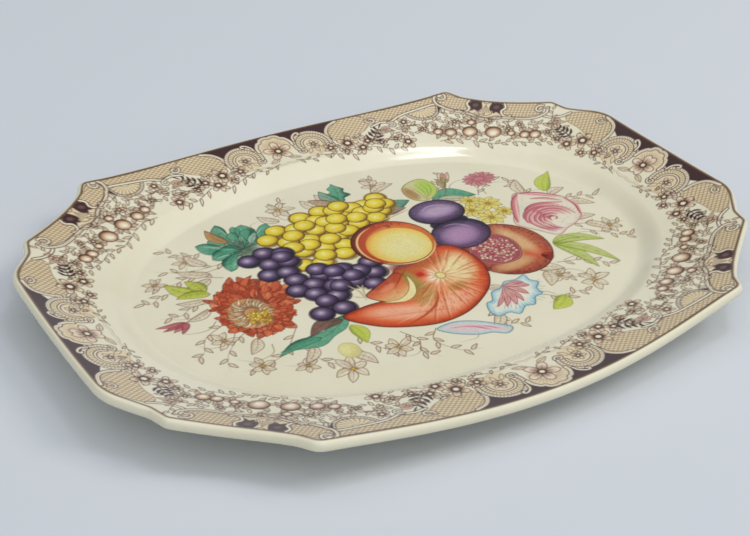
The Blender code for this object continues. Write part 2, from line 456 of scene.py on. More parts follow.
def sprig(points, leaves, size, colour=inks["line"], fill="#dccaac"):  # a stalk with leaves on both sides
    path = smooth(points)
    stroke(path, 0.42, colour, "end", 0.9)
    for k in range(leaves):
        i = int((k + 1) / (leaves + 0.4) * (len(path) - 2))
        way = unit(path[i + 1] - path[i])
        sign = 1 if k % 2 else -1
        out = way * 0.75 + np.array([-way[1], way[0]]) * sign * 0.75
        leaf(path[i], path[i] + out * size, size * 0.4, fill, edge=colour, veins=0, line=0.4)


def onSide(points):  # along a long side, millimetres in from the crest
    p = np.atleast_2d(np.asarray(points, float))
    return np.stack([p[:, 0], np.interp(np.abs(p[:, 0]), quarter[:, 0], quarter[:, 1]) - p[:, 1]], 1)


def onEnd(points):  # along an end, millimetres in from the crest
    p = np.atleast_2d(np.asarray(points, float))
    x = np.interp(np.abs(p[:, 0]), quarter[::-1, 1], quarter[::-1, 0])
    return np.stack([x - p[:, 1], p[:, 0]], 1)


# One stretch of border for the long side and one for the end; u runs along, v inwards
sideRun = {
    "to": onSide, "band": 47, "bandDepth": 8.5, "arch": 10.5, "bloom": (15.0, 8.2),
    "scroll": (21.5, 15.2, 10.5), "shellLip": [(32.5, 15), (33.2, 9), (37, 4), (43, 1.3)],
    "shell": [(33, 14), (34, 8), (38, 3.4), (44, 0.9), (56, 1.0), (63, 2.5), (64, 6), (60, 10), (55, 14),
              (48, 17.5), (40, 19), (35, 18)],
}
endRun = {
    "to": onEnd, "band": 41, "bandDepth": 8.0, "arch": 9.5, "bloom": (14.5, 7.4),
    "scroll": (21.0, 15.5, 10.3), "shellLip": [(33, 15), (34.5, 8), (38.5, 3.2), (46, 1.4)],
    "shell": [(34, 13), (36, 6), (40, 2.2), (47, 1.0), (56, 1.5), (64, 3.5), (63, 9), (58, 14), (50, 17),
              (42, 19), (35, 19)],
}


def rimStretch(run):
    to = run["to"]
    # dark band along the rim, and the netted shell at its end
    u = np.linspace(-run["band"], run["band"], 40)
    inner = run["bandDepth"] * np.clip((run["band"] - np.abs(u)) / 12, 0, 1) ** 0.6
    rimSide, wellSide = to(np.stack([u, 0 * u + 0.3], 1)), to(np.stack([u, inner + 0.4], 1))
    shape(np.concatenate([rimSide, wellSide[::-1]]), inks["dark"])
    nettedPanel(to(smooth(run["shell"], True)), 2.0, inks["soft"])
    scrollBand(to(smooth(run["shellLip"])), 1.5)
    # C-shaped scroll with a pleated lining
    su, sv, sr = run["scroll"]
    shape(to(ellipse(su, sv, sr)), inks["pale"])
    shape(to(np.concatenate([curl(su, sv, sr - 0.6, -185, 190), curl(su, sv + 0.5, sr * 0.66, 0, -180)])),
          inks["tan"], inks["line"], 0.3)
    for degrees in range(-172, 0, 11):
        a = math.radians(degrees)
        stroke(to([around(su, sv, sr * share, sr * share, a) for share in (0.72, 0.93)]), 0.5, inks["line"],
               "end", 0.7)
    scrollBand(to(curl(su, sv, sr, -200, 225)), 1.5, beads=1.5)
    scrollBand(to(curl(su, sv + 0.6, sr * 0.6, -190, 200)), 0.8)
    for sign in (-1, 1):
        scrollBand(to(curl(su + sign * (sr - 2.3), sv + 4.4, 2.4, -90 + sign * 90, sign * 290, 0.35)), 0.8)
    bloom(*to([(su, sv + 0.8)])[0], 3.6, fill=inks["white"], turn=20)
    for k in range(3):
        leaf(*to([(su - 3 + 3 * k, sv + 4), (su - 6 + 6 * k, sv + 8.5)]), 2.2, inks["pale"], veins=0)
    # scalloped frame over the flower, and curls on the dark band each side of it
    w = run["arch"]
    rising = [(w, 12), (w * 0.98, 8.5), (w * 0.8, 5.2), (w * 0.62, 4.4), (w * 0.5, 2.4), (w * 0.2, 1.5)]
    archLine = smooth([(-u, v) for u, v in rising] + [(0, 2.1)] + rising[::-1])
    shape(to(np.concatenate([archLine, [(w * 0.7, 17), (0, 20), (-w * 0.7, 17)]])), inks["pale"])
    for degrees in np.linspace(-160, -20, 13):
        a = math.radians(degrees)
        stroke(to([around(0, 13, w * 0.45, w * 0.5, a), around(0, 12.5, w * 0.86, w * 0.9, a)]), 0.45,
               inks["soft"], "end", 0.8)
    scrollBand(to(archLine), 1.5)
    v, r = run["bloom"]
    bloom(*to([(0, v)])[0], r, turn=90, fill="#e6d3bd", heart=inks["soft"])
    for sign in (-1, 1):
        curlOut = smooth([(12.6, 9.5), (13.2, 6.5), (15.2, 4.2), (17.4, 3.4), (18.2, 4.6), (17, 5.4)])
        scrollBand(to(curlOut * (sign, 1)), 0.9)
        leaf(*to([(sign * 3, v + 7), (sign * 9.5, v + 9.5)]), 3, inks["pale"])
    # lace line towards the well
    u = np.linspace(0, su + 6, 120)
    lace = v + 12.2 + 0.9 * np.abs(np.sin(u / 2.4)) - 3.4 * (u / (su + 6)) ** 2
    stroke(to(np.stack([u, lace], 1)), 0.3, inks["soft"], strength=0.7)
    stroke(to(np.stack([u, lace - 1.1], 1)), 0.22, inks["soft"], strength=0.5)


def wheatEar(base, tip, count=4):  # dark engraved leaf of narrow blades
    base, tip = np.array(base, float), np.array(tip, float)
    axis = tip - base
    side = np.array([-axis[1], axis[0]])
    stroke([base, tip], 0.8, inks["dark"], "end")
    for k in range(count):
        at = base + axis * (0.1 + 0.22 * k)
        for sign in (-1, 1):
            reach = 1 - 0.13 * k
            stroke(smooth([at, at + (axis * 0.08 + side * sign * 0.2) * reach,
                           at + (axis * 0.26 + side * sign * 0.36) * reach]), 1.5, inks["dark"], "both")
    stroke([base + axis * 0.85, tip + axis * 0.2], 1.0, inks["dark"], "both")


def pomes(places):  # printed fruits of the corner garland, each on its leaves
    for x, y, r in places:
        for k in range(5):
            a = 2 * math.pi * (k + 0.7 * dice.random()) / 5
            leaf(around(x, y, r * 0.6, r * 0.6, a), around(x, y, r + 3.6, r + 3.6, a), 2.4, "#d8c4a6",
                 inks["soft"], 0.15, inks["line"], veins=1, line=0.36)
    stops = [(0, "#f0e7d0"), (0.42, "#e2cdac"), (0.74, "#b08a6c"), (0.92, "#76523e"), (1, "#5a3c2c")]
    for x, y, r in places:
        fruit(x, y, r, r * 0.92, stops, edge=inks["line"], line=0.6, light=(-0.1, -0.15), spread=1.1)
        stroke(curl(x, y, r * 0.62, 200, 110), 0.4, inks["line"], "both", 0.6)
        stroke(curl(x, y, r * 0.8, 20, 130), 0.8, inks["line"], "both", 0.45)
        blush(x - 0.2 * r, y - 0.3 * r, r * 0.5, r * 0.4, "#f4ecd8", 0.8)


# A corner panel runs from its cusp along a straight chord, with its edge hollowed inside that chord
cusp, panelEnd = (np.array([dish["halfLength"], dish["halfWidth"]]) - dish[k] for k in ("cusp", "panelEnd"))
panelLength = np.hypot(*(panelEnd - cusp))
panelWay = (panelEnd - cusp) / panelLength
panelInward = np.array([panelWay[1], -panelWay[0]])


def onCorner(points):  # along the panel from the cusp, millimetres in from its edge
    p = np.atleast_2d(np.asarray(points, float))
    s = np.clip(p[:, :1] / panelLength, 0, 1)
    sag = dish["panelHollow"] * np.sin(math.pi * s ** dish["panelHollowSkew"])
    return cusp + panelWay * p[:, :1] + panelInward * (p[:, 1:] + sag)


def cornerPanel():
    for field in ([(0.5, 1.5), (6, 0.8), (13, 0.8), (14.5, 4), (15, 9), (11, 10.5), (5, 11), (-1, 11.5),
                   (-4, 8)],
                  [(36, 0.8), (45, 0.6), (54, 0.8), (58, 3), (57, 9), (50, 11.5), (43, 11.5), (36.5, 11),
                   (34, 6)]):
        nettedPanel(onCorner(smooth(field, True)), 1.9, inks["line"])
    shape(onCorner(smooth([(14, 0.8), (24, 0.4), (35, 0.8), (35, 9), (30, 12), (25, 13.5), (20, 12),
                           (14.5, 9.5)], True)), inks["pale"], inks["line"])
    for u in (18.8, 31.2):  # the two dark feathery rosettes
        shape(onCorner(ellipse(u, 4.6, 4.0, 3.4)), inks["dark"], wash=0.15)
        for k in range(11):
            a = 2 * math.pi * (k + 0.5 * dice.random()) / 11
            far = 0.85 + 0.3 * dice.random()
            leaf(*onCorner([around(u, 4.6, 2, 1.6, a), around(u, 4.8, 5.4 * far, 4.6 * far, a)]), 2.4,
                 inks["dark"], edge=inks["dark"], veins=0)
        blush(*onCorner([(u, 4.4)])[0], 2.4, 1.7, "#8f7260", 0.55)
    shape(onCorner(smooth([(22, 0.7), (25, 2.2), (28, 0.7), (27.2, 6), (29, 10), (25, 12), (21, 10),
                           (22.8, 6)], True)), inks["pale"], inks["line"], 0.45)
    for k in range(5):
        stroke(onCorner([(25, 2.6), (22.4 + 1.3 * k, 9.6)]), 0.45, inks["line"], "start", 0.8)
    for band, width in (
            ([(14.6, 1.2), (13.6, 4.5), (15.6, 7.4), (14.4, 10.4), (11.5, 11.6), (10, 10.6)], 1.1),
            ([(35.6, 1.2), (36.4, 4.5), (34.4, 7.4), (35.6, 10.6), (38.5, 11.8), (40, 10.8)], 1.1),
            ([(-5.6, 4), (-6, 8), (-2.5, 12.4), (4, 12.6), (11, 12), (17, 12.4), (22, 14.6), (25, 15),
              (28, 14.6), (33, 12.8), (39, 12.8), (47, 13.2), (54, 12.6), (60, 9), (61, 5)], 1.3)):
        scrollBand(onCorner(smooth(band)), width)
    scrollBand(onCorner(curl(-2.4, 5.4, 3.4, -120, 250, 0.5)), 1.0)
    scrollBand(onCorner(curl(56.5, 5.4, 3.2, 300, -250, 0.5)), 1.0)


# Flowers as along, inwards and radius; fruits and blooms of the corner as x, y and radius
garland = {
    "sideFlowers": [
        (28.5, 23.0, 3.4), (39.5, 22.0, 5.2), (45.5, 28.5, 4.0), (51.0, 23.6, 3.6), (35.6, 28.5, 2.6),
        (71.5, 31.5, 4.2), (66.5, 26.6, 2.6), (78.5, 14.5, 3.2), (57.5, 27.5, 2.4)],
    "endFlowers": [
        (29.0, 24.5, 3.6), (41.5, 22.5, 5.2), (45.5, 30.5, 4.2), (34.5, 29.5, 2.8), (52.5, 30.0, 2.8)],
    "pomes": [
        (107.5, 86.5, 4.4), (118.5, 79.0, 4.7), (112.5, 92.5, 2.4), (132.0, 67.0, 3.0), (136.8, 63.6, 3.4),
        (97.5, 91.5, 3.5), (91.5, 95.5, 2.8), (126.5, 72.5, 2.3)],
    "blooms": [
        (127.5, 76.5, 3.0), (104.5, 98.0, 3.2), (134.5, 75.5, 2.8), (122.5, 88.0, 2.6), (143.5, 60.5, 2.6),
        (84.5, 101.5, 2.6)],
    "sprigs": [  # points, number of leaves and their length
        ([(88, 88), (96, 86), (104, 80), (110, 73)], 6, 5.0),
        ([(112, 98), (120, 93), (128, 84), (133, 79)], 6, 4.4),
        ([(124, 66), (130, 60), (136, 56), (141, 52)], 5, 4.0),
        ([(138, 72), (143, 69), (148, 66), (152, 60)], 5, 4.2),
        ([(74, 110), (82, 107), (90, 105), (98, 104)], 6, 4.4),
        ([(60, 101), (68, 106), (76, 104), (82, 97)], 6, 4.0),
        ([(20, 107), (28, 104), (36, 101), (44, 98)], 6, 4.0),
        ([(50, 102), (56, 98), (62, 95), (69, 94)], 5, 4.0),
        ([(150, 66), (154, 70), (157, 74), (156, 78)], 4, 3.6),
        ([(5, 108), (10, 106), (15, 105), (20, 106)], 4, 3.2),
        ([(148, 8), (149, 14), (149, 20), (147, 27)], 5, 3.2),
        ([(144, 52), (142, 57), (147, 62), (152, 66)], 5, 3.6),
        ([(100, 110), (106, 105), (111, 101), (117, 96)], 5, 3.8),
        ([(108, 76), (114, 70), (120, 68), (126, 63)], 5, 4)],
}


def netStrip():  # net strip and fan shell between the long side's shell and the cusp
    nettedPanel(onSide(smooth([(58, 1.0), (74, 1.0), (90, 1.0), (104, 1.2), (108, 3), (103, 5.5), (94, 6.2),
                               (84, 7.2), (75, 10), (66, 9)], True)), 1.9, inks["line"])
    shape(onSide(np.concatenate([curl(93, 7, 10, 10, 160), curl(93, 6.4, 3, 170, -160)])), inks["tan"],
          inks["line"])
    for k in range(9):
        a = math.radians(25 + 16 * k)
        stroke(onSide([around(93, 6.6, 3.4, 3.4, a), around(93, 7, 9.2, 9.2, a)]), 0.5, inks["line"], "start",
               0.75)
    scrollBand(onSide(curl(93, 7, 9.8, 15, 150)), 1.2, beads=1.4)
    scrollBand(onSide(smooth([(60, 12.5), (66, 10.8), (72, 11.8), (78, 9.2), (84, 8), (92, 7.2), (101, 6.6),
                              (106, 8), (107, 11)])), 1.2)
    scrollBand(onSide(curl(62, 7.2, 2.9, 200, -300, 0.4)), 0.9)
    scrollBand(onSide(curl(71, 14.6, 2.6, 250, 290, 0.4)), 0.8)
    scrollBand(onSide(smooth([(103, 15), (105.4, 10), (106, 4.5)])), 1.3)
    stroke(onSide(smooth([(100.6, 14.5), (103.2, 10), (103.8, 3.5)])), 1.7, inks["dark"], "both")
    stroke(onSide(smooth([(108.6, 13), (109.4, 8), (108.6, 4)])), 1.2, inks["dark"], "both")
    # the same on the end's side of the cove
    scrollBand(onEnd(smooth([(64, 4), (66, 9), (72, 12), (77, 10.5)])), 1.1)
    scrollBand(onEnd(curl(47, 5.2, 2.8, 200, -290, 0.4)), 0.8)


def fillGround():  # small dark leaves that fill the garland's ground
    filler = np.random.default_rng(11)
    for to, low, high in ((onSide, 24, 106), (onEnd, 22, 60)):
        for u in np.arange(low, high, 1.7):
            root = to([(u, 17.5 + 11 * filler.random())])[0]
            a = 2 * math.pi * filler.random()
            tip = root + np.array([math.cos(a), math.sin(a)]) * (3.2 + 1.8 * filler.random())
            fill = ("#d9c6a8", "#e4d8c0", "#bb9c7e")[int(3 * filler.random())]
            leaf(root, tip, 1.7, fill, edge=inks["line"], veins=0, line=0.42)
    for u in range(0, 62, 2):
        root = cusp + panelWay * (u + 1.5 * filler.random()) + panelInward * (15.5 + 15 * filler.random())
        a = 2 * math.pi * filler.random()
        tip = root + np.array([math.cos(a), math.sin(a)]) * 4.2
        leaf(root, tip, 1.7, "#dccaae", edge=inks["line"], veins=0, line=0.32)


def paintBorder():  # one quarter, then mirrored both ways
    rimStretch(sideRun)
    rimStretch(endRun)
    netStrip()
    cornerPanel()
    fillGround()
    for to, flowers in ((onSide, garland["sideFlowers"]), (onEnd, garland["endFlowers"])):
        for u, v, r in flowers:
            bloom(*to([(u, v)])[0], r * 1.2, turn=u * 7, fill="#e3d0b0", heart="#6d4734", ring=0.42)
    wheatEar(*onSide([(53, 25.5), (64, 13.5)]))
    wheatEar(*onEnd([(49, 24.5), (61, 19)]))
    for bud in (onSide([(65.5, 17.5)])[0], onEnd([(63.5, 15.0)])[0]):  # small rosebuds
        shape(ellipse(*bud, 3.3, 2.7, 30), inks["bud"], inks["line"], wash=0.3)
        stroke(curl(*bud, 1.7, 0, 330, 0.3), 0.4, inks["line"], strength=0.7)
        leaf(bud, bud - (5.5, 3.2), 2.2, inks["pale"])
        leaf(bud, bud + (4.6, -3.6), 2.2, inks["pale"])
    pomes(garland["pomes"])
    for x, y, r in garland["blooms"]:
        bloom(x, y, r, turn=x * 5, ring=0.34)
    for path, leaves, size in garland["sprigs"]:
        sprig(path, leaves, size)
    # printed line round the very edge
    stroke(quarter + unit(-quarter.mean(0)) * 0.45, 1.05, inks["rim"], strength=0.95)
    halfRows, halfCols = sheetShape[0] // 2, sheetShape[1] // 2
    for board in (paint, cover):
        board[halfRows:, :halfCols] = board[halfRows:, halfCols:][:, ::-1]
        board[:halfRows] = board[halfRows:][::-1]


# The hand-coloured group in the middle of the well
colours = {
    "teal": ("#529878", "#265645"), "lime": ("#b9c64a", "#7f9228"), "shade": "#6d4a3c", "stalk": "#6f5140",
    "yellowGrape": [(0, "#f2ecae"), (0.35, "#ead94c"), (0.72, "#dabd30"), (0.9, "#a5822c"), (1, "#70502a")],
    "purpleGrape": [(0, "#cdbfce"), (0.22, "#9c8ca6"), (0.5, "#5f4c6e"), (0.82, "#382a46"), (1, "#241a2e")],
    "plum": [(0, "#8d7596"), (0.5, "#795f88"), (0.8, "#54405f"), (0.95, "#372b42"), (1, "#241b30")],
    "peach": [(0, "#e89a58"), (0.7, "#dd7a40"), (0.86, "#c6552c"), (0.97, "#97361f"), (1, "#5c2418")],
    "peachFace": [(0, "#e2daa0"), (0.6, "#e4da8a"), (0.85, "#e6c45e"), (1, "#dd9444")],
    "pomegranate": [(0, "#c98a5c"), (0.5, "#bb6e48"), (0.8, "#a64c34"), (0.95, "#823024"), (1, "#52201a")],
    "melon": [(0, "#8e2a12"), (1.6, "#c2441e"), (4.5, "#da6032"), (9, "#e58557"), (14, "#ebab7c")],
    "petals": ["#c85c38", "#b54a2c", "#d67a50", "#a84228", "#d0673f"],
}
yellowGrapes = [
    (-19, 62), (-6, 63), (3, 56), (27, 61), (18, 57), (-36, 56), (-26, 53), (11, 58), (23, 48), (28, 53),
    (-44, 50), (-13, 56), (-4, 48), (13, 51), (-17, 47), (-36, 44), (17, 43), (6, 42), (-25, 40),
    (-10, 37), (-3, 39), (-33, 32), (-22, 30), (-12, 28), (-40, 21), (-30, 18), (-16, 20), (-31, 48),
    (-21, 54), (-9, 52), (1, 60), (8, 48), (-28, 36), (-16, 36), (-26, 24), (-8, 44), (21, 52), (-36, 38),
    (-2, 52), (24, 56), (5, 63)]
purpleGrapes = [
    (-52, 40), (-62, 37), (-44, 36), (-54, 29), (-45, 27), (-59, 21), (-50, 19), (-12, -2), (-10, 7),
    (-18, 3), (-50, 11), (-37, 8), (-25, 8), (-44, 3), (-31, 2), (-54, 2), (-48, -5), (-36, -3),
    (-25, -5), (-39, -11), (-46, -13), (-18, -11), (-42, -22), (-54, -21), (-46, 33), (-36, 14), (-24, 1),
    (-33, -5), (-30, 9)]


def lineFlower(x, y, r, turn):  # pale printed flower with pointed petals, left uncoloured
    for k in range(6):
        a = math.radians(turn + 60 * k + 25 * dice.random())
        reach = r * (0.8 + 0.45 * dice.random())
        leaf((x, y), around(x, y, reach, reach, a), r * 0.5, "#e2d8be", "#cdb898",
             0.25 * (dice.random() - 0.5), colours["stalk"], veins=1, line=0.34, peak=1.0)
    for k in range(4):
        stroke([(x, y), around(x, y, 0.3 * r, 0.3 * r, math.radians(turn + 90 * k))], 0.5, "#7d5a3c", "both")
    shape(ellipse(x, y, r * 0.12), "#c9a640", "#7d5a3c", 0.3)


# The pale printed ground of the group: stalks, then flowers as x, y and radius, then leaves
ground = {
    "stalks": [
        [(-60, 45), (-78, 42), (-95, 44), (-108, 52)], [(-80, 30), (-94, 38), (-104, 36), (-120, 38)],
        [(-85, -14), (-98, -20), (-108, -30), (-112, -40)], [(-70, -25), (-84, -40), (-96, -44), (-108, -44)],
        [(-90, 12), (-104, 14), (-112, 10), (-122, 12)], [(-75, -42), (-72, -55), (-66, -62), (-68, -70)],
        [(-50, -42), (-46, -55), (-42, -62), (-36, -68)], [(-30, -52), (-26, -62), (-30, -70), (-24, -78)],
        [(60, -42), (68, -52), (76, -58), (84, -62)], [(72, -40), (84, -44), (92, -50), (98, -58)],
        [(100, -12), (112, -18), (120, -24), (130, -24)], [(104, -20), (114, -30), (120, -36), (126, -38)],
        [(112, 14), (120, 10), (128, 8), (137, 2)], [(102, 22), (104, 32), (100, 38), (104, 44)],
        [(60, 48), (66, 58), (72, 62), (74, 68)], [(-20, 66), (-26, 74), (-24, 80), (-16, 84)],
        [(26, 64), (32, 72), (36, 78), (32, 84)], [(-60, 60), (-84, 56), (-92, 62), (-98, 70)],
        [(-95, -5), (-110, -12), (-116, -22), (-122, -26)], [(-100, 26), (-112, 30), (-120, 26), (-126, 30)],
        [(20, -56), (16, -68), (22, -74), (30, -76)], [(-14, -58), (-20, -66), (-14, -78), (-4, -82)],
        [(78, 36), (84, 44), (94, 46), (100, 54)], [(48, -60), (56, -68), (64, -66), (72, -70)]],
    "flowers": [
        (-25, 75, 8), (33, 73, 8), (-104, -18, 7), (-98, -44, 7), (-64, -66, 9), (-37, -62, 8), (78, -62, 9),
        (66, -50, 7), (120, -24, 7), (-112, 40, 6), (-90, 52, 6), (-80, -54, 6)],
    "leaves": [  # base, tip and width
        ((-84, 36), (-98, 46), 6), ((-86, 32), (-100, 30), 6), ((-82, 44), (-88, 58), 6),
        ((-96, 16), (-110, 20), 5), ((-98, 8), (-112, 4), 5), ((-70, -42), (-80, -52), 6),
        ((-58, -56), (-52, -68), 6), ((-90, -24), (-98, -34), 6), ((20, -62), (10, -72), 6),
        ((60, -40), (72, -46), 7), ((62, -44), (56, -56), 7), ((100, 26), (106, 40), 7),
        ((112, 18), (124, 20), 6), ((116, 6), (128, -2), 6), ((108, -10), (120, -12), 6),
        ((110, -16), (118, -28), 6), ((-4, 66), (-10, 78), 7), ((6, 66), (0, 80), 7), ((28, 66), (44, 70), 6),
        ((-30, 64), (-38, 74), 6)],
}


def paintSprays():
    for stalk in ground["stalks"]:
        sprig(stalk, 6, 5.0, colours["stalk"], "#d6c8ac")
    for x, y, r in ground["flowers"]:
        lineFlower(x, y, r, turn=3 * x)
    for k in range(26):  # loose tendrils at the edge of the group
        a = 2 * math.pi * (k + 0.5 * dice.random()) / 26
        root = around(0, 0, 100, 62, a)
        path = smooth([root, around(*root, 9, 7, a + 0.7), around(*root, 17, 12, a + 0.2),
                       around(*root, 20, 12, a - 0.3)])
        stroke(path, 0.42, colours["stalk"], "end", 0.85)
    for base, tip, width in ground["leaves"]:
        leaf(base, tip, width, "#ddd2b8", "#c0a888", 0.1, "#6b4c3c", line=0.34)
    fruit(-58, -53, 5, 6, [(0, "#e6e0a0"), (1, "#cfc684")], edge="#a89a60", line=0.25)
    for k, tip in enumerate([(-122, 6), (-125, 2), (-121, -1), (-118, -4), (-127, 6), (-119, 2), (-116, -1)]):
        leaf((-112, 3), tip, 3.2, ("#b86a6a", "#a8505a")[k % 2], edge="#7d3a42", veins=0)
    stroke(smooth([(-84, 8), (-98, 8), (-112, 4)]), 0.5, "#8a7a50", "end")


def paintLeaves():
    teal, tealDark = colours["teal"]
    lime, limeDark = colours["lime"]
    shade = colours["shade"]
    # the big lobed leaf by the grapes
    root = np.array([-59.0, 49.0])
    blush(-59, 50, 10, 12, "#33503f", 0.9)
    for tip, width, bend in (((-61, 77), 9, 0.12), ((-49, 71), 11, -0.1), ((-37, 66), 10, -0.16),
                             ((-79, 63), 11, 0.1), ((-77, 47), 10, -0.12), ((-74, 33), 9, -0.14),
                             ((-70, 54), 8, 0.05)):
        spine = np.array(tip) - root
        side = np.array([-spine[1], spine[0]]) * 0.24
        for share, sign in ((0.5, 1), (0.58, -1)):  # rounded side lobes
            leaf(root + spine * share * 0.5, root + spine * (share + 0.2) + side * sign, width * 0.62, teal,
                 tealDark, 0.1 * sign, "#1f4a3e", veins=0, line=0.34, peak=2.1)
        leaf(root, tip, width * 0.95, teal, tealDark, bend, "#1f4a3e", line=0.36, peak=2.0)
        stroke([root + spine * 0.35, root + spine * 0.85], 1.1, "#9fcdb2", "both", 0.6)
    for base, tip, width, fill, dark, bend, edge, veins in (
            ((-63, 58), (-68, 75), 7, "#b98a52", shade, 0.1, shade, 4),
            ((-53, 52), (-46, 61), 5, "#a9c0ac", tealDark, 0, tealDark, 4),
            ((-96, 22), (-108, 38), 9, lime, limeDark, 0.1, shade, 4),
            ((-94, 22), (-98, 36), 8, lime, limeDark, -0.1, shade, 4),
            ((-92, 20), (-108, 24), 7, lime, limeDark, -0.1, shade, 4),
            ((22, 44), (42, 50), 12, "#5d8f7c", tealDark, 0.12, tealDark, 4),
            ((22, 43), (36, 44), 7, "#a08a7c", shade, 0.1, shade, 2),
            ((53, 44), (77, 37), 13, teal, tealDark, 0.16, tealDark, 4),
            ((56, 43), (74, 33), 6, "#c9c3a4", "#9b8a6c", 0.05, shade, 2)):
        leaf(base, tip, width, fill, dark, bend, edge, veins)
    # green fig above the plums
    shape(smooth([(50, 45), (58, 48), (63, 56), (61, 66), (54, 67), (46, 63), (43, 55), (45, 48)], True),
          "#c9c48c", "#6d6a34", 0.45, wash=0.2)
    blush(57.5, 57, 6.5, 11, "#a6c84a", 1.0, -10)
    blush(46.5, 55, 4, 9, "#a5764a", 0.9)
    for k in range(5):
        stroke(smooth([(51, 46), (49 + 2.5 * k, 54), (47 + 3.4 * k, 63)]), 0.4, "#6d7a34", "both", 0.7)
    for base, tip, width, fill, dark, bend, edge, veins, lobes in (
            ((6, 66), (14, 86), 11, teal, tealDark, -0.1, tealDark, 4, 3),
            ((8, 66), (4, 82), 8, "#7fa48c", tealDark, 0.1, tealDark, 4, 0),
            ((4, 68), (-6, 76), 7, "#b8a084", shade, 0.1, shade, 4, 0),
            ((112, 22), (127, 38), 9, lime, limeDark, 0.08, limeDark, 4, 0),
            ((82, -24), (88, -54), 7, "#b7c26a", limeDark, 0.08, "#6e7a34", 3, 0),
            ((82, -24), (101, -55), 7, "#b7c26a", limeDark, 0.1, "#6e7a34", 3, 0),
            ((82, -24), (108, -34), 8, "#b7c26a", limeDark, 0.14, "#6e7a34", 3, 0),
            ((82, -24), (98, -27), 5, "#b7c26a", limeDark, 0.2, "#6e7a34", 3, 0),
            ((57, -66), (44, -73), 9, lime, limeDark, 0.1, limeDark, 4, 0),
            ((-47, -36), (-48, -52), 8, lime, limeDark, 0.1, limeDark, 4, 0),
            ((-44, -28), (-86, -39), 9, teal, tealDark, 0.12, tealDark, 4, 2),
            ((-48, -30), (-68, -35), 8, "#6b4a40", shade, -0.16, "#3c2a28", 4, 0),
            ((-64, -38), (-88, -42), 6, teal, tealDark, -0.1, tealDark, 4, 0),
            ((66, 52), (74, 64), 5, "#b09a74", shade, 0.1, shade, 4, 0)):
        leaf(base, tip, width, fill, dark, bend, edge, veins, lobes)


def paintDahlia():
    x, y = -80.0, -4.0

    def reach(a):  # fuller towards the upper right
        return 19.5 + 14 * max(0.0, math.cos(a - 1.15)) ** 1.6 + 2.5 * max(0.0, -math.sin(a))
    under = [around(x, y, reach(a) * 0.86, reach(a) * 0.86, a) for a in np.linspace(0, 6.2, 40)]
    shape(under, "#8c3620", wash=0.2)
    for t in (1.0, 0.93, 0.84, 0.76, 0.68, 0.6):  # rings of petals, from the outside in
        count = int(13 + 15 * t)
        for k in range(count):
            a = 2 * math.pi * (k + dice.random() * 0.7) / count
            far = reach(a) * t * (0.88 + 0.22 * dice.random())
            base = np.array(around(x, y, far * 0.52, far * 0.52, a))
            tip = np.array(around(x, y, far, far, a + 0.32 * (dice.random() - 0.35)))
            leaf(base, tip, 3.6 + 1.6 * dice.random(), colours["petals"][int(dice.random() * 5)], "#a3452a",
                 0.5 * (dice.random() - 0.4), "#7a2a18", veins=0, wash=0.3, line=0.34, peak=1.7)
            stroke([base * 0.8 + tip * 0.2, base * 0.25 + tip * 0.75], 0.6, "#e9a27a", "both", 0.5)
    shape(ellipse(-83, -4, 10.5, 12.5, -10), "#cfae7c", wash=0.5)
    for k in range(64):  # pale florets round the heart
        a, r = 2 * math.pi * (k + dice.random()) / 64, 0.5 + 0.6 * dice.random()
        leaf(around(-82, -5, 4, 5, a), around(-83, -4, 12.5 * r, 14.5 * r, a + 0.2), 1.7,
             ("#ece0bc", "#e4d5ae", "#cf9468", "#c6c29a")[k % 4], "#b98c62", 0.3, "#80583a", veins=0,
             line=0.3)
    for k in range(80):
        a, r = 2 * math.pi * dice.random(), 6.0 * math.sqrt(dice.random())
        shape(ellipse(*around(-80.5, -9, r, r, a), 0.85, count=10), ("#e2bc34", "#f0d868", "#a87a20")[k % 3],
              "#8a601e", 0.22)


